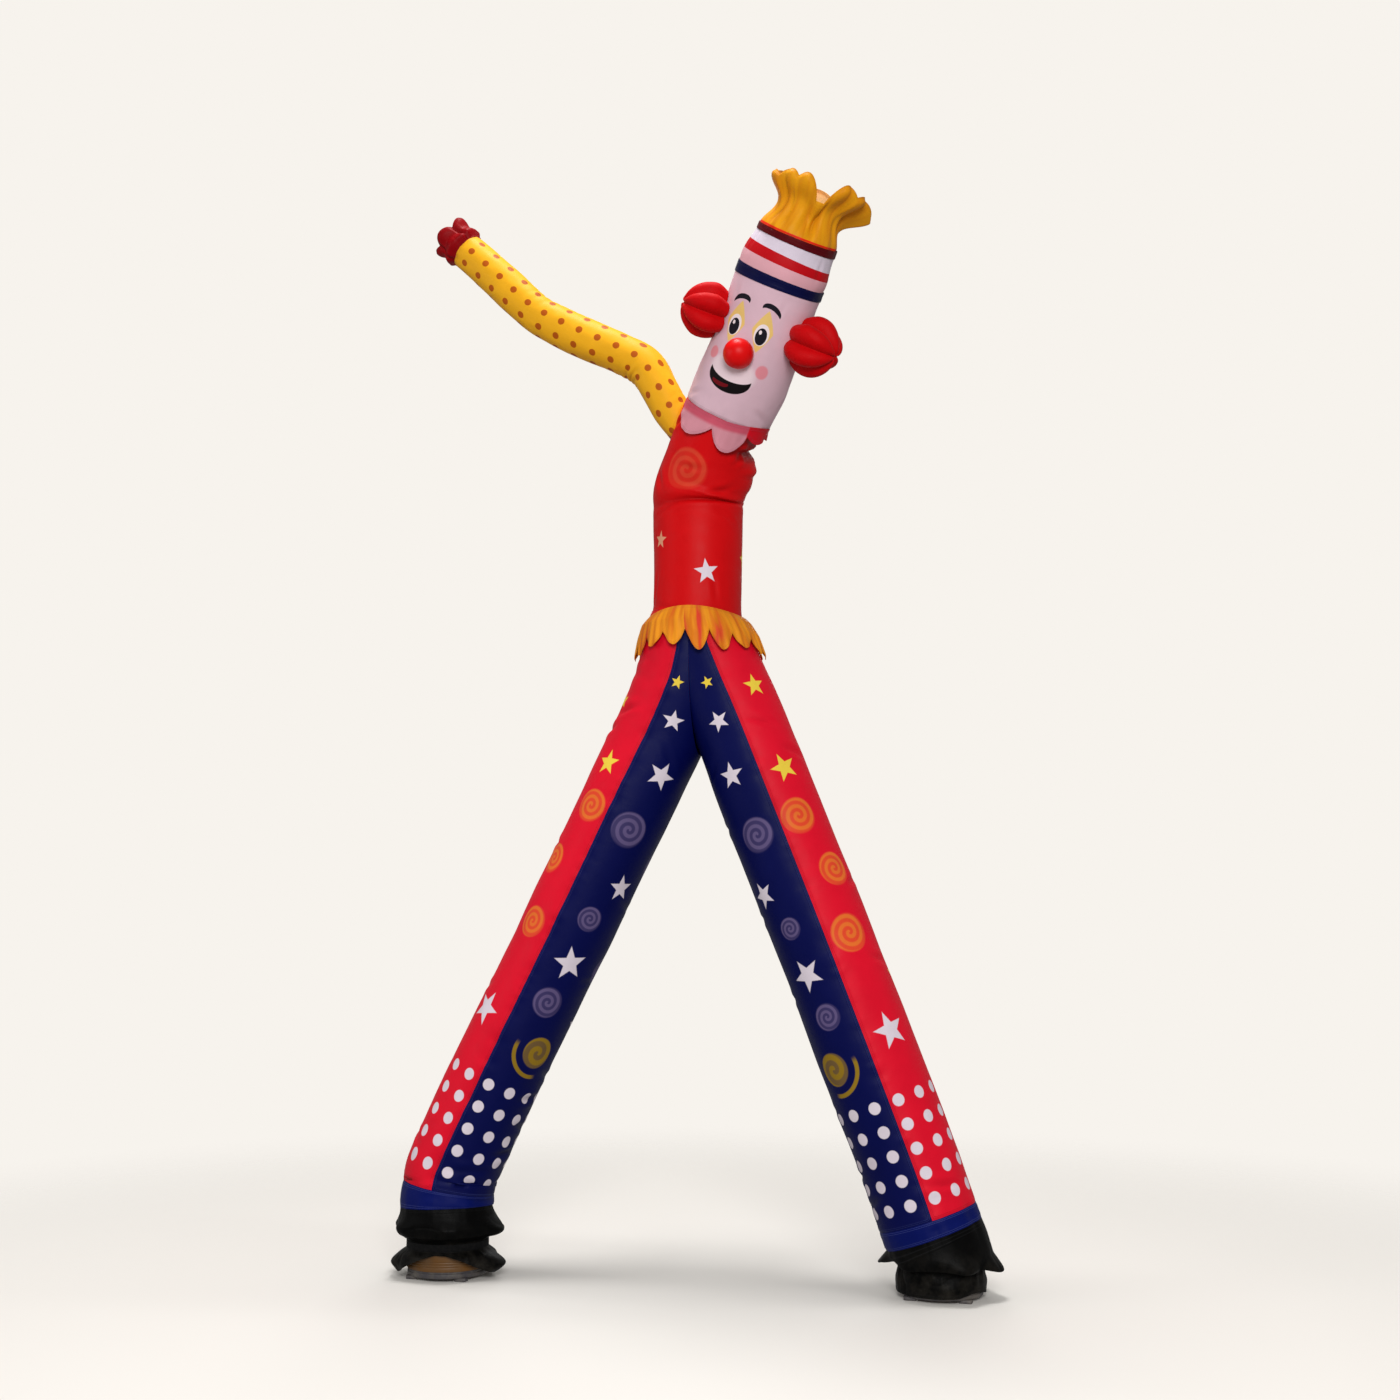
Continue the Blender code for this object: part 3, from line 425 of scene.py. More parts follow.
def drawMotif(place, kind, soft):
    # a five-pointed star, a swirl, a dot, or a moon with a crescent beside it; the rim of the motif is at 1
    u, v, _ = split(place)
    radius, turn = vector("LENGTH", place, out=1), maths("ARCTAN2", u, v)
    tip = turn / (2 * pi / 5)
    tip = abs(tip - maths("ROUND", tip)) * (2 * pi / 5)
    # distance to the line from a tip at (1, 0) to the inner corner, whose normal is (0.35, 0.94)
    edge = (maths("COSINE", tip) * 0.3505 + maths("SINE", tip) * 0.9366) * radius
    arms = maths("SINE", radius * 16.0 + turn)
    dot = fall(radius, 1.0 - soft * 3.0, 1.0)
    moon = fall(radius, 0.54, 0.60) * step(arms, -0.45, 0.45, (0.55, 1.0))
    ring = fall(abs(radius - 0.9), 0.05, 0.09) * step(abs(turn), 2.0, 2.3)
    star, swirl = fall(edge, 0.3505 - soft, 0.3505), dot * step(arms, -0.6, 0.6, (0.34, 0.86))
    total = 0.0
    for number, mask in enumerate((star, swirl, dot, maths("MAXIMUM", moon, ring)), 1):
        total = mask * maths("COMPARE", kind, float(number), 0.1) + total
    return {"mask": total}


def drawPatch(place, centre, extent, turn, power, soft):
    # |x|^power + |y|^power under 1, x and y turned and counted in half sizes: power 2 gives an oval, 1 a diamond
    turned = node("VectorRotate", vector("SUBTRACT", place, centre), None, None, turn, rotation_type="Z_AXIS")
    x, y, _ = split(vector("DIVIDE", turned, extent))
    return {"mask": fall(maths("POWER", abs(x), power) + maths("POWER", abs(y), power), 1.0 - soft, 1.0)}


def drawDust(place, top):
    # pale dust that settles near the ground, thinning out up to the top
    return {"mask": fall(split(place)[2] / top, 0.0, 1.0) * step(noise(place, 14.0, 4.0, 0.65), 0.35, 0.75)}


origin = (0.0, 0.0, 0.0)
weave = makeGroup("clothWeave", drawWeave, place=origin, thread=0.0016, net=0.009, crumple=0.0012, scale=11.0)
stitches = makeGroup("seamStitches", drawStitches, place=origin, distance=1.0, pitch=0.0075)
motif = makeGroup("printedMotif", drawMotif, place=(9.0, 9.0, 0.0), kind=0.0, soft=0.05)
patch = makeGroup("printedPatch", drawPatch, place=origin, centre=origin, extent=(1.0, 1.0, 1.0), turn=0.0, power=2.0,
                  soft=0.06)
dust = makeGroup("groundDust", drawDust, place=origin, top=0.35)


def newMaterial(name, **shaderValues):
    material = bpy.data.materials.new(name)
    material.use_nodes = True
    pen["tree"] = material.node_tree
    shader = material.node_tree.nodes["Principled BSDF"].inputs
    give(shader, **shaderValues)
    return material, shader


def give(shader, height=None, **values):
    for label, value in values.items():
        feed(shader[label.replace("_", " ")], value)
    if height:
        made = node("Bump").socket.node
        made.inputs["Strength"].default_value = made.inputs["Distance"].default_value = 1.0
        feed(made.inputs["Height"], height)
        feed(shader["Normal"], Wire(made.outputs[0]))


def attribute(name, out):
    return node("Attribute", attribute_name=name, out=out)


def clothMaterial(name, colour, thread=None, decorate=None, roughness=0.46, crumple=0.0012, scale=11.0, solid=False,
                  gloss=0.09, sheen=0.0, dustTop=0.0):
    # sewn nylon: a colour, or what decorate draws over it, then the print, painted shade in the hollows (partly dirt),
    # stitches and the weave
    material, shader = newMaterial(name, Specular_IOR_Level=gloss, Sheen_Weight=sheen, Sheen_Roughness=0.4)
    place = node("TexCoord", out=3) if solid else node("UVMap", uv_map="cloth")
    grain = use(weave, place=place, crumple=crumple, scale=scale)
    base, height = decorate(place, colour) if decorate else colour, grain["height"]
    if not solid:
        spot = use(motif, place=node("UVMap", uv_map="motif"), kind=attribute("print", 3))["mask"]
        base = blend(spot, base, attribute("print", 0))
        sewn = use(stitches, place=place, distance=attribute("seam", 2))
        # painted shade: where the relief dips into a fold the colour is darkened, mostly standing for shade and partly
        # for dirt
        base = blend(fall(attribute("hollow", 2), -0.02, 0.0) * 0.65, base, (0.42, 0.34, 0.34), "MULTIPLY")
        base = blend(sewn["mask"] * 0.55, base, thread or tuple(0.35 * c for c in colour))
        height = height + sewn["height"]
    base = blend(1.0, base, node("CombineXYZ", *[grain["tone"]] * 3), "MULTIPLY")
    if dustTop:
        settled = use(dust, place=node("TexCoord", out=3), top=dustTop)["mask"]
        base = blend(settled * 0.06, base, tint(150, 140, 125))
    matt = node("MapRange", grain["sheen"], 0.25, 0.75, roughness - 0.07, roughness + 0.09)
    give(shader, height, Base_Color=base, Roughness=matt)
    return material


motifKinds = ("none", "star", "swirl", "dot", "moon")
printColours = {
    "white": tint(226, 214, 224), "orange": tint(232, 120, 44), "yellow": tint(240, 208, 70),
    "lilac": tint(104, 90, 132), "gold": tint(150, 118, 30), "brown": tint(178, 84, 14),
    "beige": tint(228, 158, 124), "coral": tint(214, 66, 42),
}
print("materials ready")


# The body: one tube that carries the torso, the head and the hat
bodyLook = {
    "rows": (  # x, y, z, half width, half depth
        (-.017, 0, 3.1, .258, .226), (-.017, 0, 3.13, .237, .223), (-.014, 0, 3.17, .219, .219),
        (-.01, 0, 3.4, .216, .217), (-.01, -.001, 3.62, .221, .221), (0, -.015, 3.756, .224, .222),
        (.058, -.055, 3.892, .217, .217), (.106, -.091, 3.993, .214, .215), (.165, -.13, 4.099, .214, .216),
        (.25, -.182, 4.24, .223, .221), (.326, -.232, 4.372, .218, .217), (.472, -.341, 4.656, .211, .21),
        (.523, -.377, 4.746, .213, .211), (.58, -.414, 4.84, .192, .194), (.664, -.478, 4.996, .194, .195),
    ),
    "radius": 0.222,  # the flat cut's width over 2 pi
    "columns": 132,
    "step": 0.0095,  # length of a face along the tube
    # the buckle in front, the deep notch at the right side and the swells next to them, which are negative
    "folds": (  # height, depth, half its length along the tube, angle, half width in degrees, sharpness, slant
        (3.712, .014, .046, 10, 130, .3, .022), (3.712, .01, .038, 52, 62, .2, .022),
        (3.768, -.008, .055, 20, 120, 0, .022), (4.004, .07, .05, 100, 80, .15, 0),
        (4.062, .04, .056, 100, 74, 0, 0), (3.932, -.02, .04, 96, 46, 0, 0), (3.872, -.018, .09, 98, 50, 0, 0),
    ),
    "creases": (  # run, angle, length, slant, depth, width
        (.56, -30, .2, 24, .005, .013), (.52, 52, .22, -30, .005, .014), (.69, -52, .2, -34, .007, .014),
        (.735, 40, .24, 30, .006, .015), (.8, -8, .2, 12, .005, .013), (.93, 60, .22, 48, .008, .015),
        (.96, -60, .16, 40, .008, .014), (.17, -55, .24, 74, .004, .014), (.15, 38, .22, 98, .004, .014),
        (.3, 150, .3, 20, .006, .016), (.64, 190, .4, -8, .01, .016), (.86, 170, .36, 10, .008, .016),
        (1.13, -44, .16, 30, .004, .012), (1.15, 60, .2, -24, .005, .014), (1.26, 96, .2, 66, .005, .014),
        (1.64, 30, .14, 80, .003, .011), (1.65, -38, .14, 96, .003, .011), (1.21, 170, .34, 14, .007, .015),
        (1.56, 186, .3, -20, .006, .015), (1.88, 62, .16, 84, .004, .011), (1.9, -50, .16, 98, .004, .011),
    ),
    "motifs": {  # run, angle, radius, turn
        ("star", "white"): ((.232, 26, .068, 8), (.23, -150, .066, 0), (.48, 158, .06, 14)),
        ("star", "beige"): ((.405, -41, .05, -12),),
        ("swirl", "coral"): ((.784, -11, .118, 30),),
        ("star", "yellow"): ((.33, 100, .06, 20), (.83, -120, .06, -20)),
        ("swirl", "orange"): ((.5, -110, .08, 0), (.8, 142, .085, 0)),
    },
}
body = Tube(bodyLook["rows"])
ends = {part: body.atHeight(sewing[part]) for part in ("waist", "neck", "hatBottom", "hatTop")}


def bodyRelief(runs, angles):
    relief, radius = billow(runs, angles, size=0.26, depth=0.0036, seed=11), bodyLook["radius"]
    for height, depth, half, middle, wide, sharp, slant in bodyLook["folds"]:
        wander = 0.006 * sin(radians(angles * 3 + 30)) + slant * sin(radians(angles))
        off = (runs - body.atHeight(height) - wander) / half
        shape = (1 - sharp) * bump(off) + sharp * ridge(off / 0.26)
        relief -= depth * shape * bump(apart(angles, middle) / wide)
    for end, depth in (("neck", 0.004), ("hatBottom", 0.004), ("hatTop", 0.004), ("waist", 0.002)):
        place = radians(angles) * radius % (2 * pi * radius)
        relief += gather(abs(runs - ends[end]), place, seed=21, valley=depth, pucker=0.0026)
    relief += gather(radians(180 - abs(angles)) * radius, runs, seed=31)
    relief += bendFolds(body, runs, angles, size=0.085, depth=0.006, seed=41)
    return relief + creases(body, runs, angles, bodyLook["creases"])


def bodyPiece(name, low, high, material, slot, **more):
    runs = linspace(low, high, max(4, round((high - low) / bodyLook["step"])) + 1)
    angles = linspace(-180, 180, bodyLook["columns"] + 1)
    tubePiece(name, body, runs, angles, bodyRelief, material, slot, bodyLook["radius"], **more)


torsoCloth = clothMaterial("torso red nylon", tint(208, 6, 12))
bodyPiece("torso", ends["waist"], ends["neck"] - gap, torsoCloth, "red_cloth",
          motifs=printed(bodyLook["motifs"], bodyLook["radius"]), rests=("leg_l_red", "leg_r_red"))

# The face is a plain printed one: diamond make-up, round eyes, arched brows and a crescent smile
ink, cream = tint(22, 20, 30), tint(238, 224, 226)
once, both, plain = (1,), (-1, 1), (0, 2, 0.08, None)  # plain is an upright oval with a crisp rim
faceLook = {
    "middle": radians(-3) * bodyLook["radius"],
    # sides, share, colour, across, run, half width, half height, turn, power, softness, and the oval bitten out of it
    "spots": (
        (once, 0.55, cream, 0, 1.3, 0.14, 0.09, 0, 2, 0.5, None),
        (both, 0.75, tint(226, 120, 130), 0.14, 1.35, 0.036, 0.036, 0, 2, 0.5, None),
        (both, 0.92, tint(232, 194, 104), 0.076, 1.526, 0.056, 0.104, 0, 1.15, 0.08, None),
        (both, 1, cream, 0.076, 1.51, 0.038, 0.052, *plain),
        (both, 1, ink, 0.076, 1.502, 0.029, 0.041, *plain),
        (both, 1, ink, 0.086, 1.626, 0.054, 0.032, 0.3, 2, 0.08, (-0.02, 0.056, 0.027)),
        (once, 1, cream, -0.085, 1.52, 0.0075, 0.01, *plain),
        (once, 1, cream, 0.067, 1.52, 0.0075, 0.01, *plain),
        (once, 1, tint(14, 8, 10), 0, 1.276, 0.116, 0.078, 0, 2, 0.08, (0.04, 0.126, 0.062)),
        (once, 0.8, tint(120, 8, 22), -0.03, 1.234, 0.046, 0.018, 0, 2, 0.08, (0.014, 0.06, 0.012)),
    ),
}


def drawFace(place, colour):
    for sides, share, paint, across, run, wide, tall, turn, power, soft, bite in faceLook["spots"]:
        for side in sides:
            middle, shape = faceLook["middle"] + side * across, {"place": place, "turn": side * turn, "soft": soft}
            mask = use(patch, centre=(middle, run, 0), extent=(wide, tall, 1), power=power, **shape)["mask"]
            if bite:
                up, halfWide, halfTall = bite
                cut = use(patch, centre=(middle, run + up, 0), extent=(halfWide, halfTall, 1), **shape)["mask"]
                mask = mask * (1.0 - cut)
            colour = blend(mask * share, colour, paint)
    return colour


faceCloth = clothMaterial("face pink nylon", tint(216, 180, 192), tint(170, 130, 145), drawFace)
bodyPiece("head", ends["neck"] + gap, ends["hatBottom"] - gap, faceCloth, "pink_cloth", rests=("torso",))

# The hat: stripes sewn round it, counted down from its top
hatLook = {
    "stripes": ((0.083, 0.129, tint(186, 8, 20)), (0.129, 0.245, tint(222, 164, 174))),
    "bands": {  # seam, how far over it the middle lies, width, distance off the cloth
        "hat_band": ("hatBottom", 0.006, 0.052, 0.0013),
        "crown_band": ("hatTop", -0.006, 0.035, 0.0013),
    },
}


def drawStripes(place, colour):
    down = ends["hatTop"] - split(place)[1]
    for low, high, stripe in hatLook["stripes"]:
        colour = blend(within(down, low, high, 0.001), colour, stripe)
    return colour


hatCloth = clothMaterial("striped hat nylon", tint(216, 202, 216), tint(150, 140, 160), drawStripes)
bodyPiece("hat", ends["hatBottom"] + gap, ends["hatTop"] - gap, hatCloth, "striped_cloth", rests=("head",))


def buildBand(name, material, slot):
    # a strip laid round the body over a seam, following the cloth under it
    end, over, wide, off = hatLook["bands"][name]
    middle = ends[end] + over
    runs, angles = linspace(-wide / 2, wide / 2, 13) + middle, linspace(-180, 180, bodyLook["columns"] + 1)
    edge = 0.001 * bump((runs - runs[0]) / 0.006) + 0.001 * bump((runs - runs[-1]) / 0.006)

    def relief(run, angle):
        under = [bodyRelief(full_like(run, middle + wide * part / 5), angle) for part in range(-3, 4)]
        uneven = 0.0008 * softNoise(angle, 40, run / 0.02, 51)
        return off + sewing["thickness"] + np.max(under, axis=0) - edge[:, None] + uneven

    tubePiece(name, body, runs, angles, relief, material, slot, bodyLook["radius"], rests=("hat",))


navyCloth = clothMaterial("navy nylon", tint(2, 8, 72), tint(60, 70, 130))
buildBand("hat_band", clothMaterial("hat band navy nylon", tint(3, 6, 56), tint(24, 28, 78)), "navy_cloth")
buildBand("crown_band", clothMaterial("maroon nylon", tint(84, 0, 8), tint(100, 16, 34)), "maroon_cloth")
print("torso, head and hat made")


# The legs: a red and a navy panel each, a blue hem, all on one tube from the floor to the waist
legLook = {
    "l": {
        "rows": (
            (-1.205, -.15, .02, .228, .228), (-1.205, -.15, .17, .228, .228), (-1.211, -.146, .256, .23, .228),
            (-1.217, -.141, .334, .228, .226), (-1.207, -.135, .422, .224, .224), (-1.178, -.128, .529, .222, .222),
            (-.978, -.101, .959, .221, .221), (-.668, -.061, 1.601, .222, .222), (-.357, -.021, 2.253, .225, .226),
            (-.19, 0, 2.6, .226, .226), (-.085, 0, 2.85, .229, .225), (-.045, 0, 3.08, .23, .225),
            (-.04, 0, 3.18, .23, .225),
        ),
        "frontSeam": 2.0, "panels": (("navy", 2.0, 180.0), ("red", -180.0, 2.0)),
        "dots": (0.495, 0.113, -42),  # first run, step, and the angle of one column
        "motifs": {  # run, angle, radius, turn
            ("star", "yellow"): (
                (2.55, -28, .07, 12), (2.86, -60, .052, 20), (1.48, -96, .076, 10), (2.56, -130, .066, 0),
                (3.046, 14, .034, 0),
            ),
            ("swirl", "orange"): (
                (2.333, -22, .086, 0), (2.028, -46, .08, 40), (1.717, -28, .082, 90), (1.16, -120, .082, 0),
                (2.24, -104, .078, 20), (1.56, -152, .066, 0),
            ),
            ("star", "white"): (
                (1.252, -36, .092, -14), (1.85, -122, .084, 24), (2.869, 27, .06, 10), (2.601, 43, .076, -8),
                (2.036, 62, .072, 16), (1.617, 42, .09, 22), (1.33, 110, .08, 0), (1.9, 124, .076, 30),
                (2.45, 118, .07, -16),
            ),
            ("swirl", "lilac"): (
                (2.304, 36, .092, 0), (1.845, 40, .064, 60), (1.409, 38, .078, 120), (1.62, 104, .074, 0),
                (2.18, 110, .08, 0), (2.06, 160, .06, 0),
            ),
            ("moon", "gold"): ((1.17, 56, .135, -40), (1.08, 148, .11, 30)),
        },
        "creases": (  # run, angle, length, slant, depth, width
            (.54, 40, .3, 16, .006, .015), (.56, -60, .24, -20, .005, .014), (.66, 84, .26, 10, .011, .017),
            (.8, 92, .22, -8, .009, .016), (.945, 80, .22, 12, .01, .017), (1.07, 96, .2, -12, .008, .016),
            (1.56, 84, .16, 6, .005, .015), (1.96, 92, .2, -10, .006, .015), (1.34, -64, .18, 24, .004, .014),
            (2.1, -70, .22, -16, .005, .015), (2.7, -70, .24, 22, .009, .017), (2.83, -40, .26, 30, .008, .016),
            (2.7, 40, .2, -40, .006, .014), (2.6, 150, .36, -26, .009, .017), (1.2, 160, .3, 12, .007, .016),
            (2, -160, .3, 10, .007, .016), (.76, -140, .34, -12, .008, .016),
        ),
    },
    "r": {
        "rows": (
            (1.13, 0, .02, .23, .23), (1.127, 0, .15, .23, .23), (1.108, 0, .23, .23, .23),
            (1.076, 0, .32, .229, .229), (1.042, 0, .42, .228, .228), (.981, 0, .59, .231, .228),
            (.845, 0, .95, .231, .228), (.594, 0, 1.6, .23, .228), (.34, 0, 2.242, .23, .228),
            (.193, 0, 2.61, .229, .227), (.09, 0, 2.85, .229, .225), (.014, 0, 3.06, .228, .225),
            (.008, 0, 3.18, .228, .225),
        ),
        "frontSeam": 13.0, "panels": (("navy", -180.0, 13.0), ("red", 13.0, 180.0)), "dots": (0.422, 0.111, -34),
        "motifs": {
            ("star", "yellow"): (
                (2.871, 48, .062, -6), (2.455, 43, .076, 10), (1.4, 104, .076, 0), (2.42, 116, .07, -14),
                (2.966, -5, .034, 0),
            ),
            ("swirl", "orange"): (
                (2.219, 37, .092, 0), (1.935, 56, .086, 30), (1.635, 42, .096, 80), (1.12, 118, .082, 0),
                (2.1, 108, .08, 0), (1.48, 150, .066, 0),
            ),
            ("star", "white"): (
                (1.163, 46, .094, 6), (1.76, 118, .084, 20), (2.772, -11, .058, 10), (2.511, -22, .07, -10),
                (1.938, -43, .072, 14), (1.522, -24, .086, 20), (1.3, -92, .08, 0), (1.86, -106, .076, 30),
                (2.4, -104, .07, -16),
            ),
            ("swirl", "lilac"): (
                (2.205, -19, .088, 0), (1.747, -23, .056, 60), (1.315, -19, .066, 100), (1.6, -88, .074, 0),
                (2.14, -92, .08, 0), (2.02, -144, .06, 0),
            ),
            ("moon", "gold"): ((1.085, -37, .135, 40), (1.04, -140, .11, -30)),
        },
        "creases": (
            (.46, 40, .26, -14, .005, .014), (.47, -60, .24, 14, .008, .016), (.6, -84, .22, -8, .007, .016),
            (.9, -90, .2, 10, .005, .015), (1.45, -86, .18, -8, .006, .015), (1.84, -90, .2, 8, .007, .016),
            (2.3, -80, .18, 14, .005, .015), (1.48, 74, .18, -20, .005, .015), (1.86, 84, .2, 14, .005, .015),
            (2.52, 70, .24, -26, .007, .016), (2.7, 40, .24, -30, .006, .015), (2.56, -50, .18, 34, .005, .014),
            (2.5, -150, .34, 26, .009, .017), (1.1, -160, .3, -12, .007, .016), (1.9, 150, .3, -10, .007, .016),
            (.72, 140, .34, 12, .008, .016),
        ),
    },
    "radius": 0.228, "rows": 264, "columns": 42,
    "dots": (5, 29.0, 0.03),  # rows, degrees between two columns, radius
}
legs = {side: Tube(legLook[side]["rows"]) for side in "lr"}


def legRelief(side, runs, angles):
    tube, look, radius, seed = legs[side], legLook[side], legLook["radius"], 100 if side == "l" else 200
    relief = billow(runs, angles, size=0.3, depth=0.0042, seed=seed)
    for seam, extra in ((look["frontSeam"], 2), (180.0, 4)):
        away = abs(radians(apart(angles, seam))) * radius
        relief += gather(away, runs, seed + extra, valley=0.0032, pucker=0.0034)
    for end in ("hemTop", "hemBottom"):
        away = abs(runs - tube.atHeight(sewing[end][side]))
        relief += gather(away, radians(angles % 360) * radius, seed + 6, valley=0.0026, pucker=0.003)
    relief += bendFolds(tube, runs, angles, size=0.1, depth=0.011, seed=seed + 8)
    return relief + creases(tube, runs, angles, look["creases"])


def buildLeg(side):
    tube, look, radius, outer = legs[side], legLook[side], legLook["radius"], 1.0 if side == "l" else -1.0
    low, high = (tube.atHeight(sewing[end][side]) for end in ("hemBottom", "hemTop"))
    cuts = (((shift[0] - outer * gap / 2, 0, 0), (outer, 0, 0)), ((0, 0, sewing["waist"] - 2 * gap), (0, 0, 1)))
    dots = {("dot", "white"): dotRows(*look["dots"], *legLook["dots"])}
    motifs, runs = printed(look["motifs"] | dots, radius), linspace(high + gap, tube.length, legLook["rows"] + 1)
    edge = np.degrees(gap / 2 / radius)
    for colour, first, last in look["panels"]:
        angles = linspace(first + edge, last - edge, legLook["columns"] + 1)
        tubePiece(f"leg_{side}_{colour}", tube, runs, angles, lambda r, a: legRelief(side, r, a),
                  {"navy": navyCloth, "red": legRed}[colour], f"{colour}_cloth", radius, motifs=motifs, cuts=cuts,
                  rests=(f"hem_{side}",))
    tubePiece(f"hem_{side}", tube, linspace(low + gap, high - gap, 15), linspace(-180, 180, 133),
              lambda r, a: legRelief(side, r, a), hemBlue, "blue_cloth", radius, rests=(f"cuff_{side}",))


legRed = clothMaterial("leg red nylon", tint(224, 14, 42))
hemBlue = clothMaterial("hem blue nylon", tint(2, 16, 90), tint(84, 94, 160))
for side in "lr":
    buildLeg(side)
print("legs made")


# The arms: one raised in two bends, the other let down behind the back
armLook = {
    "l": {
        "rows": (
            (.054, -.09, 3.904, .079, .089), (-.031, -.09, 4.043, .085, .093), (-.114, -.1, 4.161, .092, .097),
            (-.185, -.11, 4.29, .093, .099), (-.257, -.11, 4.401, .099, .101), (-.386, -.12, 4.48, .099, .101),
            (-.544, -.13, 4.557, .103, .103), (-.707, -.14, 4.646, .099, .101), (-.838, -.15, 4.733, .096, .099),
            (-1.006, -.16, 4.899, .097, .099), (-1.187, -.17, 5.072, .091, .091),
        ),
        "front": (0.0, -1.0, 0.0), "dots": (0.21, 0.105, 7),
    },
    "r": {
        "rows": (
            (.06, .02, 3.86, .085, .09), (.088, .16, 3.885, .08, .088), (.072, .29, 3.897, .08, .088),
            (.018, .38, 3.812, .09, .09), (-.03, .4, 3.64, .096, .092), (-.055, .39, 3.36, .096, .094),
            (-.07, .37, 3.06, .094, .094), (-.06, .36, 2.78, .092, .092), (-.05, .36, 2.66, .088, .088),
        ),
        "front": (0.0, 0.0, 1.0), "dots": (0.24, 0.105, 7),
    },
    "radius": 0.1, "rows": 190, "columns": 66, "dots": (16, 45.0, 0.019),
}
arms = {side: Tube(armLook[side]["rows"], armLook[side]["front"]) for side in "lr"}


def armRelief(side, runs, angles, root):
    tube, radius, seed = arms[side], armLook["radius"], 300 if side == "l" else 400
    around = radians(angles % 360) * radius
    relief = billow(runs, angles, size=0.13, depth=0.0026, seed=seed)
    relief += bendFolds(tube, runs, angles, size=0.052, depth=0.013, seed=seed + 2)
    relief += gather(radians(180 - abs(angles)) * radius, runs, seed + 4, valley=0.0022, pucker=0.002)
    relief += gather(runs - root, around, seed + 6, pucker=0.004)
    return relief + gather(tube.length - runs, around, seed + 8)


def buildArm(side, material):
    # the sleeve starts where it meets the torso: at each angle, the last run that is still inside the body
    tube, radius, angles = arms[side], armLook["radius"], linspace(-180, 180, armLook["columns"] + 1)
    run, angle = grid(linspace(0, tube.length, 900), angles)
    inside = body.locate(tube.points(run, angle))[1] < 1.004
    root = np.where(inside, run, 0).max(axis=0)
    runs = root + (tube.length - root) * linspace(0, 1, armLook["rows"] + 1)[:, None]
    angle = np.broadcast_to(angles, runs.shape)
    relief = armRelief(side, runs, angle, root)
    edge = np.min([runs - root, tube.length - runs, radians(180 - abs(angle)) * radius], axis=0)
    dots = dotRows(*armLook[side]["dots"], *armLook["dots"])
    clothPiece(f"arm_{side}", tube.points(runs, angle, relief), flatPlace(angle, radius, runs), relief, edge, material,
               "yellow_cloth", "stretched", motifs=printed({("dot", "brown"): dots}, radius), rests=("torso",),
               cutArea=0.95)


armYellow = clothMaterial("arm yellow nylon", tint(238, 172, 28), tint(190, 120, 20))
for side in "lr":
    buildArm(side, armYellow)
print("arms made")


# Open mouths: the crown over the hat and the gloves at the wrists, splayed into lobes
mouthLook = {
    "crown": {
        "lobes": (  # angle, half width in degrees, reach, rise
            (-64, 36, .22, .258), (-30, 26, .196, .292), (-4, 25, .188, .302), (58, 23, .205, .312),
            (82, 27, .248, .288), (114, 29, .304, .19), (150, 29, .262, .24), (190, 30, .226, .232),
            (232, 32, .206, .25), (270, 32, .194, .256),
        ),
        "pleats": (  # angle, depth
            (-84, .012), (-44, .013), (-16, .008), (12, .01), (36, .014), (70, .009), (97, .012), (134, .014),
            (170, .014), (210, .014), (250, .012),
        ),
        "notch": (0.16, 0.196), "waist": 0.052, "knuckle": 0.0, "knob": 0.016, "columns": 300, "rows": 60,
    },
    "glove": {
        "lobes": (
            (-90, 40, .114, .128), (-14, 42, .104, .142), (66, 44, .112, .14), (148, 42, .104, .13),
            (214, 34, .106, .14),
        ),
        "pleats": ((-52, 0.012), (26, 0.012), (107, 0.012), (180, 0.01), (240, 0.012)),
        "notch": (0.088, 0.104), "waist": 0.0, "knuckle": 0.018, "knob": 0.007, "columns": 180, "rows": 44,
    },
    "lobeRound": 0.38,
}


def buildMouth(name, tube, run, seed, material, slot, rests):
    # radius = base + (reach - base) * share^1.6 - waist * sin^2 + a knuckle, and height = rise * share.
    # Pleats are valleys that start at the base and deepen towards the notches; each lobe's tip swells into a
    # rounded knob and turns in at its rim.
    look = mouthLook[name.split("_")[0]]
    centre, along, front = (tube.read(values, run) for values in (tube.centre, tube.along, tube.front))
    base = tube.read(tube.half, run)[0]
    share, angle = net(look["rows"], look["columns"])
    (near, low), tips, turn = look["notch"], 0 * share, radians(angle)
    reach, rise = near + tips, low + tips
    for middle, half, far, high in look["lobes"]:
        lobe = bump(apart(angle, middle) / half) ** mouthLook["lobeRound"]
        reach, rise = maximum(reach, near + (far - near) * lobe), maximum(rise, low + (high - low) * lobe)
        tips = maximum(tips, lobe)
    height = rise * share
    relief = billow(height, angle, size=0.1, depth=0.0022, seed=seed)
    for middle, depth in look["pleats"]:
        off = apart(angle, middle + 6 * sin(share * 3 + middle))
        relief -= depth * (ridge(off / 5.5) - 0.35 * ridge((abs(off) - 11) / 6)) * sin(pi * share**0.8) * 0.8
    relief += gather(height, radians(angle % 360) * base, seed + 2, valley=0.002)
    relief += look["knob"] * tips**2 * (bump((share - 0.82) / 0.26) - 0.9 * ridge((1 - share) / 0.05))
    radius = base + (reach - base) * share**1.6 - look["waist"] * sin(pi * share) ** 2
    radius += look["knuckle"] * bump((share - 0.28) / 0.28) + relief
    offset = stack([height + gap, radius * sin(turn), radius * cos(turn)], axis=-1)
    points = centre + offset @ stack([along, np.cross(along, front), front])
    edge = minimum(share, 1 - share) * rise
    clothPiece(name, points, flatPlace(angle, base, height), relief, edge, material, slot, rests=rests)


def streaks(place, across, along):
    return noise(node("Mapping", place, None, None, (across, along, 1.0)), 1.0, 2.0, 0.5)


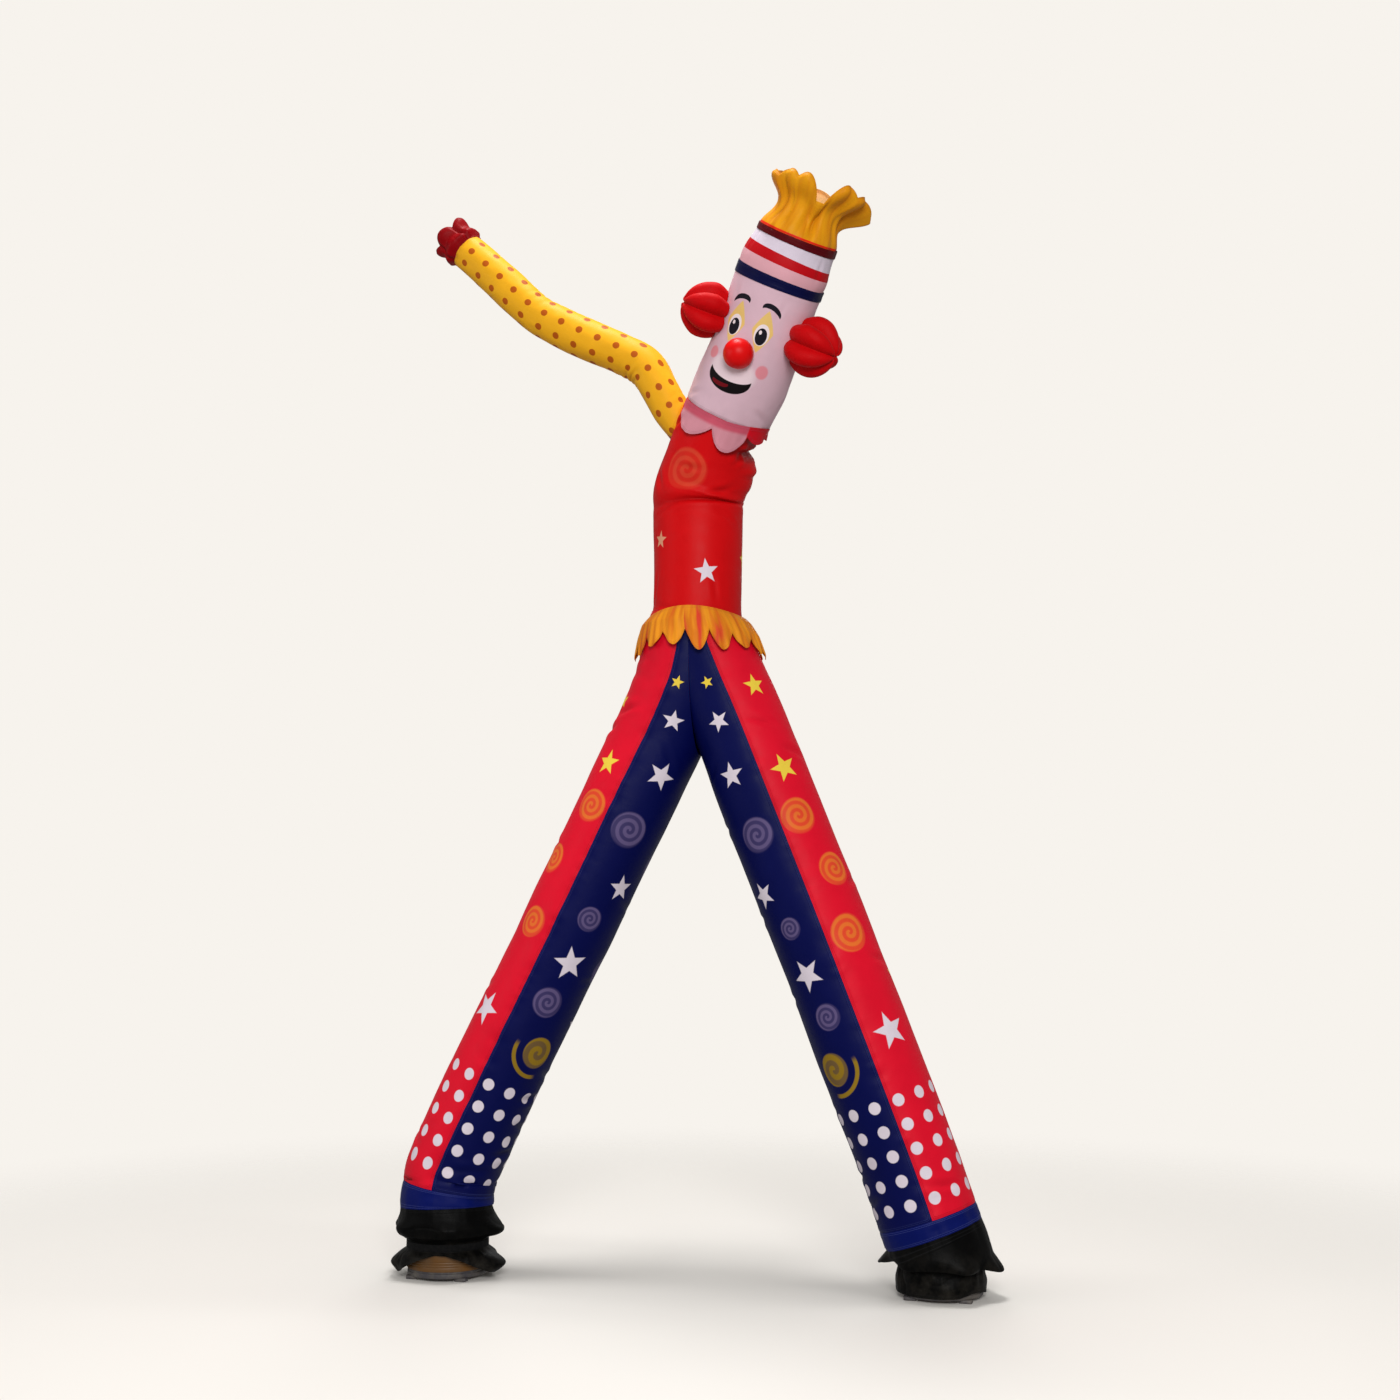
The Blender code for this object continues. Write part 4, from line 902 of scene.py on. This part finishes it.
def drawCrown(place, colour):
    # a thin red line of piping where the crown is sewn on, darker streaks up the folds, which are painted shade, and a
    # paler inside, which is painted light, where a surface faces the middle line
    # painted shade: darker amber streaks up the folds
    base = blend(step(streaks(place, 26.0, 2.5), 0.38, 0.66) * 0.55, colour, tint(206, 116, 14))
    base = blend(fall(split(place)[1], 0.02, 0.023), base, tint(222, 30, 16))
    centre, axis = (tuple(body.read(values, ends["hatTop"])) for values in (body.centre, body.along))
    off = vector("SUBTRACT", node("TexCoord", out=3), centre)
    stem = vector("SCALE", axis, None, None, vector("DOT_PRODUCT", off, axis, out=1))
    out = vector("NORMALIZE", vector("SUBTRACT", off, stem))
    inside = fall(vector("DOT_PRODUCT", out, node("NewGeometry", out=1), out=1), -0.25, 0.0)
    # painted light: the inner face of the crown is painted paler
    return blend(inside * 0.6, base, tint(236, 208, 164))


crownCloth = clothMaterial("crown amber nylon", tint(228, 154, 18), tint(212, 138, 18), drawCrown)
gloveCloth = clothMaterial("glove red nylon", tint(142, 0, 8), tint(90, 10, 14))
buildMouth("crown", body, ends["hatTop"], 500, crownCloth, "amber_cloth", ("hat",))
for side, seed in (("l", 520), ("r", 540)):
    buildMouth(f"glove_{side}", arms[side], arms[side].length, seed, gloveCloth, "dark_red_cloth", (f"arm_{side}",))
print("crown and gloves made")


# The frill at the waist: a gathered skirt cut into points
frillLook = {
    "rows": (  # z, middle x, half width, half depth
        (3.17, -.014, .2215, .2215), (3.14, -.015, .244, .233), (3.1, -.016, .276, .243), (3.04, -.007, .296, .252),
        (2.95, 0, .315, .264),
    ),
    "top": 3.165, "dip": 0.04, "seat": 0.003, "points": 16, "tip": 0.198, "notch": 0.118, "flute": 0.01,
    "columns": 576, "rowsDown": 30,
}


def around(middle, wide, deep, angle, z):
    # points round an upright axis, counted from its front towards +X
    x, y = middle[0] + wide * sin(radians(angle)), middle[1] - deep * cos(radians(angle))
    return stack(np.broadcast_arrays(x, y, z), axis=-1)


def buildFrill(material):
    # drop = notch + (tip - notch) * wave, wave being a half sine from notch to notch; the cloth stands out
    # in flutes that grow towards the edge, and the seam dips at the sides by dip * sin^2
    look = frillLook
    share, angle = net(look["rowsDown"], look["columns"], (1, 0))
    wave = sin(pi / 2 * (1 - abs(angle / 360 * look["points"] % 1 * 2 - 1)))
    uneven = 0.018 * sin(radians(angle * 3 + 40)) + 0.01 * sin(radians(angle * 5))
    drop = look["notch"] + (look["tip"] - look["notch"] + uneven) * wave
    seam = look["top"] - look["dip"] * sin(radians(angle)) ** 2
    z = seam - drop * share
    rows, torso = np.array(look["rows"])[::-1], np.array(bodyLook["rows"])
    middle, wide, deep = (interp(z, rows[:, 0], rows[:, column]) for column in (1, 2, 3))
    loose = interp(seam, rows[:, 0], rows[:, 2]) - interp(seam, torso[:, 2], torso[:, 3])
    wide -= maximum(0, loose - look["seat"]) * (1 - share) ** 2
    pleats = 0.55 * cos(radians(angle * look["points"] * 3)) + softNoise(angle, 60, share * 2, 601)
    relief = look["flute"] * wave * share + 0.0048 * share**0.7 * pleats
    relief += 0.01 * share**3 * softNoise(angle, 13, 0 * share, 603)
    grow = relief + sewing["thickness"]
    # the relief handed to the material is set 4 mm low, so its painted shade in the hollows reaches further over the
    # frill
    clothPiece("waist_frill", around((shift[0] + middle, shift[1]), wide + grow, deep + grow, angle, z),
               flatPlace(angle, 0.26, -drop * share), relief - 0.004, minimum(share, 1 - share) * drop, material,
               "orange_cloth", rests=("torso",), cutArea=0.72)


def drawFrill(place, colour):
    # darker orange streaks down the pleats, which are painted shade, and red streaks
    shade = streaks(place, 22.0, 3.0)
    # painted shade: the darker orange streaks
    base = blend(step(shade, 0.4, 0.62, (0.0, 0.7)), colour, tint(204, 96, 22))
    return blend(step(shade, 0.58, 0.72, (0.0, 0.8)), base, tint(214, 40, 44))


buildFrill(clothMaterial("frill orange nylon", tint(232, 146, 30), tint(170, 80, 10), drawFrill))

# The ruff at the neck, open where the raised arm leaves the shoulder
collarLook = {
    "lobes": (  # angle, half width, drop
        (-25, 32, .126), (27, 25, .146), (70, 22, .075), (110, 21, .056), (150, 20, .07), (190, 21, .08),
        (226, 18, .09),
    ),
    "turn": (-60.0, 244.0), "band": 0.03, "off": 0.001, "flare": 0.03, "columns": 360, "rows": 34,
    "round": 0.36, "red": (49, 118),
    "lift": (78, 72, 0.026),  # angle, half width and height of the stretch whose root is sewn higher, on the head
}


def buildCollar(material):
    # drop = band + (depth - band) * lobe^0.36; it stands off the neck by flare * (drop / 0.185)^1.2
    look = collarLook
    share, angle = net(look["rows"], look["columns"], (1, 0), look["turn"])
    drop = full_like(share, look["band"])
    for middle, half, depth in look["lobes"]:
        lobe = bump((angle - middle) / half) ** look["round"]
        drop = maximum(drop, look["band"] + (depth - look["band"]) * lobe)
    middle, half, height = look["lift"]
    runs = ends["neck"] - drop * share + height * bump((angle - middle) / half) * (1 - 0.5 * share)
    ripple = softNoise(angle, 34, share * 1.5, 701) + 0.5 * softNoise(angle, 70, share * 3, 703)
    relief = look["off"] + look["flare"] * (drop * share / 0.185) ** 1.2 + 0.0045 * share**0.8 * ripple
    under = maximum(0, bodyRelief(runs, angle))
    # the relief handed to the material follows the ripples, set 3 mm low, for its painted shade in the hollows
    clothPiece("collar", body.points(runs, angle, relief + under + sewing["thickness"]),
               flatPlace(angle, bodyLook["radius"], -drop * share), 0.0045 * share * ripple - 0.003,
               minimum(share, 1 - share) * drop, material, "mauve_cloth", closed=False, rests=("torso",), cutArea=0.45)


def drawCollar(place, colour):
    # a darker rose band at the root, which is painted shade, pale lobes, and red lobes from the right side round the
    # back
    across, along, _ = split(place)
    # painted shade: the darker rose band at the root of the ruff
    base = blend(step(along, -0.052, -0.03, (0.0, 0.85)), colour, tint(196, 66, 90))
    first, last = radians(collarLook["red"]) * bodyLook["radius"]
    return blend(within(across, first, last, 0.004), base, tint(206, 10, 30))


buildCollar(clothMaterial("collar mauve nylon", tint(206, 138, 150), tint(150, 70, 90), drawCollar))
print("frill and collar made")


# Hair puffs and nose: stuffed balls sewn to the head
puffLook = {
    "hair_l": (-64, 4.478, 0.281, 0.134), "hair_r": (74, 4.494, 0.296, 0.143),  # angle, height, distance out, radius
    "nose": (0, 4.38, 0.254, 0.072),
    "hairShape": (6, 0.32, 0.01, 70, 168), "noseShape": (0, 0.0, 0.0, 48, 72),  # lobes, pinch, dimple, rows, columns
}


def buildPuff(name, shape, seed, material, slot):
    # a ball whose radius is pinched in between the lobes, most at its rim, by
    # pinch * (1 - |cos(lobes / 2 * turn)|)^1.2 * sin(tilt)^0.8; where it would go into the head it is laid against it
    (angle, height, out, radius), (lobes, pinch, dimple, rows, columns) = puffLook[name], puffLook[shape]
    run = body.atHeight(height)
    centre, along, outward = body.read(body.centre, run), body.read(body.along, run), body.outward(run, angle)
    tilt, spin = net(rows, columns, (180, 0))
    rim, turn = sin(radians(tilt)), radians(spin)
    valley = (1 - abs(cos(turn * lobes / 2))) ** 1.2
    wide = radius * (1 - pinch * valley * rim**0.8) + radius * 0.035 * softNoise(spin, 9, tilt / 24, seed) * rim
    deep = radius * cos(radians(tilt)) * (1 - 0.15 * pinch)
    if lobes:
        deep = deep * (1 - 0.22 * valley * rim**0.5) - dimple * bump(tilt / 14)
    offset = stack([deep, wide * rim * cos(turn), wide * rim * sin(turn)], axis=-1)
    points = centre + outward * out + offset @ stack([outward, along, np.cross(outward, along)])
    nearest, depth = body.locate(points)
    core = body.centre[nearest]
    points = np.where((depth < 1.006)[..., None], core + (points - core) * (1.006 / depth)[..., None], points)
    mesh = gridMesh(name + "_stuffed", points, flatPlace(spin, radius, radians(180 - tilt) * radius))
    tidyEdges(mesh)
    with editing(mesh) as made:
        bmesh.ops.recalc_face_normals(made, faces=made.faces)
    addPiece(mesh, material, slot, name)


hairCloth = clothMaterial("hair red plush", tint(194, 0, 6), roughness=0.6, crumple=0.0022, scale=26.0, solid=True,
                          sheen=0.03)
noseCloth = clothMaterial("nose red nylon", tint(222, 4, 6), roughness=0.34, crumple=0.0006, scale=18.0, solid=True,
                          gloss=0.16)
for side, seed in (("l", 801), ("r", 803)):
    buildPuff(f"hair_{side}", "hairShape", seed, hairCloth, "red_cloth")
buildPuff("nose", "noseShape", 805, noseCloth, "bright_red_cloth")
print("hair and nose made")


# Foot cuffs, gathered over the blowers and drawn in by a strap
cuffLook = {
    "cinch": (0.135, 0.175), "cinchRadius": 0.1928,
    "rows": {  # z, radius
        "l": (
            (.02, .226), (.07, .236), (.112, .222), (.135, .1928), (.175, .1928), (.205, .23), (.245, .24),
            (.3, .23),
        ),
        "r": (
            (.02, .199), (.112, .199), (.135, .1928), (.175, .1928), (.198, .234), (.24, .242), (.3, .232),
        ),
    },
    "sag": {"l": (0.35, 0.0), "r": (0.55, 1.3)},  # droop of the bulges and of the whole upper bell, per metre out
    "lobes": {  # angle, z, reach, half width in degrees, half height
        "l": (
            (88, .24, .048, 34, .05), (150, .24, .03, 30, .05), (215, .236, .042, 30, .05),
            (268, .245, .034, 28, .05), (318, .24, .02, 24, .05), (20, .24, .016, 24, .05),
            (90, .066, .062, 32, .052), (160, .06, .03, 32, .05), (232, .062, .046, 28, .05),
            (290, .066, .034, 24, .05),
        ),
        "r": (
            (264, .206, .128, 42, .056), (88, .206, .044, 36, .046), (330, .214, .018, 24, .046),
            (35, .216, .024, 26, .046), (150, .214, .03, 30, .048), (208, .212, .036, 26, .048),
            (262, .06, .01, 30, .05), (20, .062, .012, 30, .05), (120, .06, .014, 32, .05),
            (190, .064, .012, 26, .05),
        ),
    },
    "lifts": {"l": ((12, 0.102, 82), (185, 0.03, 40)), "r": ((60, 0.018, 40), (200, 0.025, 45))},
    "bottom": 0.024, "least": 0.01, "columns": 288, "rowsLow": 22, "rowsHigh": 46,
    "strap": (0.139, 0.171, 0.0016),  # low, high, thickness
}
stand = {side: (shift[0] + x, shift[1] + y) for side, (x, y) in feet.items()}


def buildCuff(side, material):
    # rings round the blower: radius = table(z) + bulges + pleats, drawn over into the slanted seam at the hem
    look, tube, seed = cuffLook, legs[side], 900 if side == "l" else 950
    angles = linspace(0, 360, look["columns"] + 1)
    low, (cinchLow, cinchHigh) = full_like(angles, look["bottom"]), look["cinch"]
    for middle, rise, half in look["lifts"][side]:
        low += rise * bump(apart(angles, middle) / half)
    low = minimum(low, cinchLow - look["least"])
    seamRuns = full_like(angles, tube.atHeight(sewing["hemBottom"][side]) - gap)
    seam = tube.points(seamRuns, angles, legRelief(side, seamRuns, angles)).T
    z = np.vstack([
        low + (cinchLow - low) * linspace(0, 1, look["rowsLow"])[:, None],
        cinchLow + (cinchHigh - cinchLow) * linspace(0, 1, 8)[1:-1, None] + 0 * low,
        cinchHigh + (seam[2] - cinchHigh) * linspace(0, 1, look["rowsHigh"])[:, None],
    ])
    angle, upper, held = np.broadcast_to(angles, z.shape), z > cinchHigh, (z >= cinchLow) & (z <= cinchHigh)
    away = maximum(maximum(cinchLow - z, z - cinchHigh), 0)
    bulge = 0 * z
    for middle, height, reach, half, tall in look["lobes"][side]:
        bulge += reach * bump(apart(angle, middle) / half) * bump((z - height) / tall) ** 0.55
    bulge = np.where(held, 0.0, bulge) * np.where(upper, clip(away / 0.012, 0, 1), 1.0)
    drawn = clip(away / 0.014, 0, 1) * exp(-away / 0.06)
    pleats = softNoise(angle, 44, z / 0.3, seed) + 0.5 * softNoise(angle, 90, z / 0.12, seed + 1)
    folds = 0.009 * (abs(softNoise(angle, 11, z / 0.055, seed + 3)) ** 0.5 - 0.6)
    folds = clip(away / 0.03, 0, 1) * (folds + 0.0035 * softNoise(angle, 15, z / 0.04, seed + 2))
    toward = clip((z - cinchHigh) / (seam[2] - cinchHigh), 0, 1) ** 3
    relief = np.where(held, -0.0006 * abs(pleats), (0.0065 * drawn * pleats + folds) * (1 - toward))
    bell = interp(z, *np.array(look["rows"][side]).T)
    radius = maximum(bell + bulge + relief, look["cinchRadius"] - 0.0008)
    droop, drag = look["sag"][side]
    sag = (droop * bulge + drag * (bell - look["cinchRadius"])) * np.where(upper, 1 - toward, 0)
    points = around(stand[side], radius, radius, angle, z - sag)
    points[..., :2] += (seam[:2].T - points[..., :2]) * toward[..., None]
    clothPiece(f"cuff_{side}", points, flatPlace(angle, 0.228, z * 1.25), relief, minimum(z - low, seam[2] - z),
               material, "black_cloth", rests=(f"blower_drum_{side}",))


def turnedMesh(name, corners, soft, steps, middle, segments=128):
    # a closed profile of radius and height, carried round an upright axis; each of its corners is rounded
    # with a quadratic curve that starts and ends this far from it
    corners = np.array(corners, float)
    back, ahead = np.roll(corners, 1, axis=0) - corners, np.roll(corners, -1, axis=0) - corners
    start, stop = (
        (corners + way * minimum(soft / np.linalg.norm(way, axis=1, keepdims=True), 0.45))[:, None]
        for way in (back, ahead)
    )
    t = linspace(0, 1, steps + 1)[None, :, None]
    profile = ((1 - t) ** 2 * start + 2 * t * (1 - t) * corners[:, None] + t**2 * stop).reshape(-1, 2)
    radius, height = np.vstack([profile, profile[:1]]).T
    along = np.append(0, np.cumsum(np.hypot(np.diff(radius), np.diff(height))))
    radius, height, along = (part[:, None] for part in (radius, height, along))
    angle = linspace(0, 360, segments + 1)
    points = around(middle, radius, radius, angle, height)
    mesh = gridMesh(name, points, flatPlace(angle, radius.max(), along))
    tidyEdges(mesh)
    mesh.set_sharp_from_angle(angle=radians(35))
    return mesh


def webbingMaterial():
    # flat black webbing: coarse ribs and weft, worn a little paler in patches
    material, shader = newMaterial("black webbing", Roughness=0.78, Specular_IOR_Level=0.12)
    place = node("UVMap", uv_map="cloth")
    ribs, weft = (maths("SINE", across * (2 * pi / pitch)) for across, pitch in zip(split(place), (0.0024, 0.0032)))
    colour = blend(step(noise(place, 60.0, 4.0, 0.6), 0.4, 0.75), tint(9, 9, 10), tint(22, 21, 21))
    give(shader, (ribs * 0.6 + weft * 0.4) * 0.00018, Base_Color=colour)
    return material


blackCloth = clothMaterial("cuff black nylon", tint(5, 5, 5), tint(30, 30, 32), roughness=0.44, crumple=0.0018,
                           scale=16.0, gloss=0.05, dustTop=0.3)
webbing = webbingMaterial()
for side in "lr":
    buildCuff(side, blackCloth)
    low, high, thick = cuffLook["strap"]
    inner = cuffLook["cinchRadius"] + gap
    corners = ((inner, low), (inner + thick, low), (inner + thick, high), (inner, high))
    addPiece(turnedMesh(f"strap_{side}_webbing", corners, 0.0006, 4, stand[side], 160), webbing, "black_webbing",
             f"strap_{side}")
print("cuffs and straps made")


# Blowers: a moulded drum on a base with four feet and an inlet guard
blowerLook = {
    "drumRadius": 0.19, "wall": 0.006, "drumTop": 0.262, "drumBottom": 0.046 + gap,
    "ribs": (0.066, 0.078, 0.09),  # heights of the grooves round the drum
    "base": (  # radius, height
        (0.164, 0.014), (0.183, 0.014), (0.187, 0.018), (0.187, 0.032), (0.1848, 0.034), (0.1848, 0.037),
        (0.187, 0.039), (0.187, 0.046), (0.164, 0.046),
    ),
    "footSize": (0.06, 0.04), "footTop": 0.017, "footRing": 0.172, "footAngles": (45, 135, 225, 315),
}


def plasticMaterial(name, colour, roughness, wear, dusty):
    # moulded plastic: a fine grain, cloudy patches, scuffs and settled dust
    material, shader = newMaterial(name, Specular_IOR_Level=0.45)
    place = node("TexCoord", out=3)
    grain, cloud = noise(place, 420.0, 3.0, 0.6), noise(place, 7.0, 3.0, 0.55)
    scuff = noise(node("Mapping", place, None, None, (6.0, 6.0, 60.0)), 2.0, 5.0, 0.7)
    base = blend(step(cloud, 0.3, 0.75), colour, tuple(0.72 * c for c in colour))
    base = blend(step(scuff, 0.6, 0.8, (0.0, 0.45)), base, wear)
    base = blend(use(dust, place=place, top=0.3)["mask"] * dusty, base, tint(150, 140, 124))
    rough = step(scuff, 0.5, 0.8) * 0.18 + roughness + grain * 0.06
    give(shader, grain * 0.00012, Base_Color=base, Roughness=rough)
    return material


def buildBlower(side, drumPlastic, basePlastic):
    look, middle, radius, top = blowerLook, stand[side], blowerLook["drumRadius"], blowerLook["drumTop"]
    inner, bottom = radius - look["wall"], look["drumBottom"]
    corners = [(radius, bottom)]
    for height in look["ribs"]:
        corners += [(radius, height - 0.0028), (radius - 0.0022, height), (radius, height + 0.0028)]
    corners += [(radius, top - 0.004), (radius - 0.002, top), (inner, top), (inner, bottom)]
    drum = turnedMesh(f"drum_{side}_moulding", corners, 0.0016, 3, middle)
    addPiece(drum, drumPlastic, "ochre_plastic", f"blower_drum_{side}")
    mesh = turnedMesh(f"base_{side}_moulding", look["base"], 0.0018, 3, middle)
    with editing(mesh) as shape:
        for angle in look["footAngles"]:
            buildFoot(shape, around(middle, look["footRing"], look["footRing"], angle, 0))
    addPiece(mesh, basePlastic, "grey_plastic", f"blower_base_{side}")


def buildFoot(shape, middle):
    # a foot pad: a rounded rectangle |x|^6 + |y|^6 = 1 carried up from the floor with a small chamfer
    angle, (wide, deep) = linspace(90, 450, 33)[:-1], blowerLook["footSize"]
    round6 = (abs(cos(radians(angle))) ** 6 + abs(sin(radians(angle))) ** 6) ** (-1 / 6)
    rings = []
    for inset, z in ((0.003, 0.0), (0.0008, 0.0008), (0.0, 0.003), (0.0, blowerLook["footTop"])):
        ring = around(middle, (wide / 2 - inset) * round6, (deep / 2 - inset) * round6, angle, z)
        rings.append([shape.verts.new(place) for place in ring])
    for lower, upper in zip(rings, rings[1:]):
        for k in range(len(lower)):
            shape.faces.new((lower[k - 1], lower[k], upper[k], upper[k - 1])).smooth = True
    shape.faces.new(rings[0][::-1])
    shape.faces.new(rings[-1])


ochrePlastic = plasticMaterial("ochre drum plastic", tint(104, 66, 14), 0.42, tint(82, 54, 22), 0.1)
greyPlastic = plasticMaterial("dark base plastic", tint(64, 60, 64), 0.5, tint(96, 92, 90), 0.3)
guardPlastic = plasticMaterial("guard plastic", tint(30, 30, 31), 0.5, tint(60, 58, 56), 0.3)
for side in "lr":
    buildBlower(side, ochrePlastic, greyPlastic)
    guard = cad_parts[f"inlet_guard_{side}"]
    guard.data.materials.clear()
    guard.data.materials.append(guardPlastic)
print("blowers made")


# The stage: a pale floor that fades into the backdrop colour, soft lights and the camera
stageLook = {
    "backdrop": tint(247, 243, 237), "floor": tint(236, 232, 226), "floorRadius": 7.0, "fade": (2.6, 6.4),
    "ambient": 0.33,
    "lights": {  # place, height it looks at, size, power
        "key": ((3.6, -11.0, 5.6), 2.6, 4.0, 860), "fill": ((-9.0, -6.0, 4.5), 2.4, 5.0, 150),
        "back": ((-2.0, 10.0, 7.5), 2.6, 5.0, 240), "top": ((0.0, -0.2, 11.5), 0, 2.8, 660),
    },
    "camera": (2.122, -7.921, 1.67), "yaw": 15.0, "pitch": 7.4, "lens": 43.69,
}


def aim(thing, place, ahead):
    thing.location, thing.rotation_mode = place, "QUATERNION"
    thing.rotation_quaternion = Vector(ahead).to_track_quat("-Z", "Y")


def buildFloor():
    distance, angle = net(12, 96, (0, stageLook["floorRadius"]))
    mesh = gridMesh("floor", around((0, 0), distance, distance, angle, -0.0005), flatPlace(angle, 1.0, distance))
    tidyEdges(mesh)
    floor = addObject("floor", mesh)
    material, shader = newMaterial("pale floor", Roughness=0.85, Specular_IOR_Level=0.1, Base_Color=stageLook["floor"])
    give(shader, Alpha=fall(vector("LENGTH", node("TexCoord", out=3), out=1), *stageLook["fade"]))
    mesh.materials.append(material)
    floor.visible_diffuse = floor.visible_glossy = False


def buildWorld():
    # the camera sees the backdrop colour, and everything else is lit by a dimmer neutral one
    bpy.context.scene.world = world = bpy.data.worlds.new("studio")
    world.use_nodes = True
    pen["tree"] = tree = world.node_tree
    tree.nodes.clear()
    soft = node("Background", (1.0, 0.99, 0.97), stageLook["ambient"])
    mixed = node("MixShader", node("LightPath"), soft, node("Background", stageLook["backdrop"]))
    feed(tree.nodes.new("ShaderNodeOutputWorld").inputs[0], mixed)


def addLight(name, place, height, size, power):
    data = bpy.data.lights.new(name, "AREA")
    data.size, data.energy = size, power
    light = addObject(name, data)
    aim(light, place, Vector((0, 0, height)) - Vector(place))
    light.visible_camera = False


def addCamera():
    # low down and to the right of the figure, looking up at it from 8.2 m
    data = bpy.data.cameras.new("camera")
    data.lens, data.sensor_width = stageLook["lens"], 36.0
    bpy.context.scene.camera = camera = addObject("camera", data)
    yaw, pitch = radians(stageLook["yaw"]), radians(stageLook["pitch"])
    ahead = (-sin(yaw) * cos(pitch), cos(yaw) * cos(pitch), sin(pitch))
    aim(camera, Vector(stageLook["camera"]) + Vector(shift), ahead)


buildFloor()
buildWorld()
for name, light in stageLook["lights"].items():
    addLight(name, *light)
addCamera()
bpy.context.scene.view_settings.view_transform = "Standard"
print("stage made")
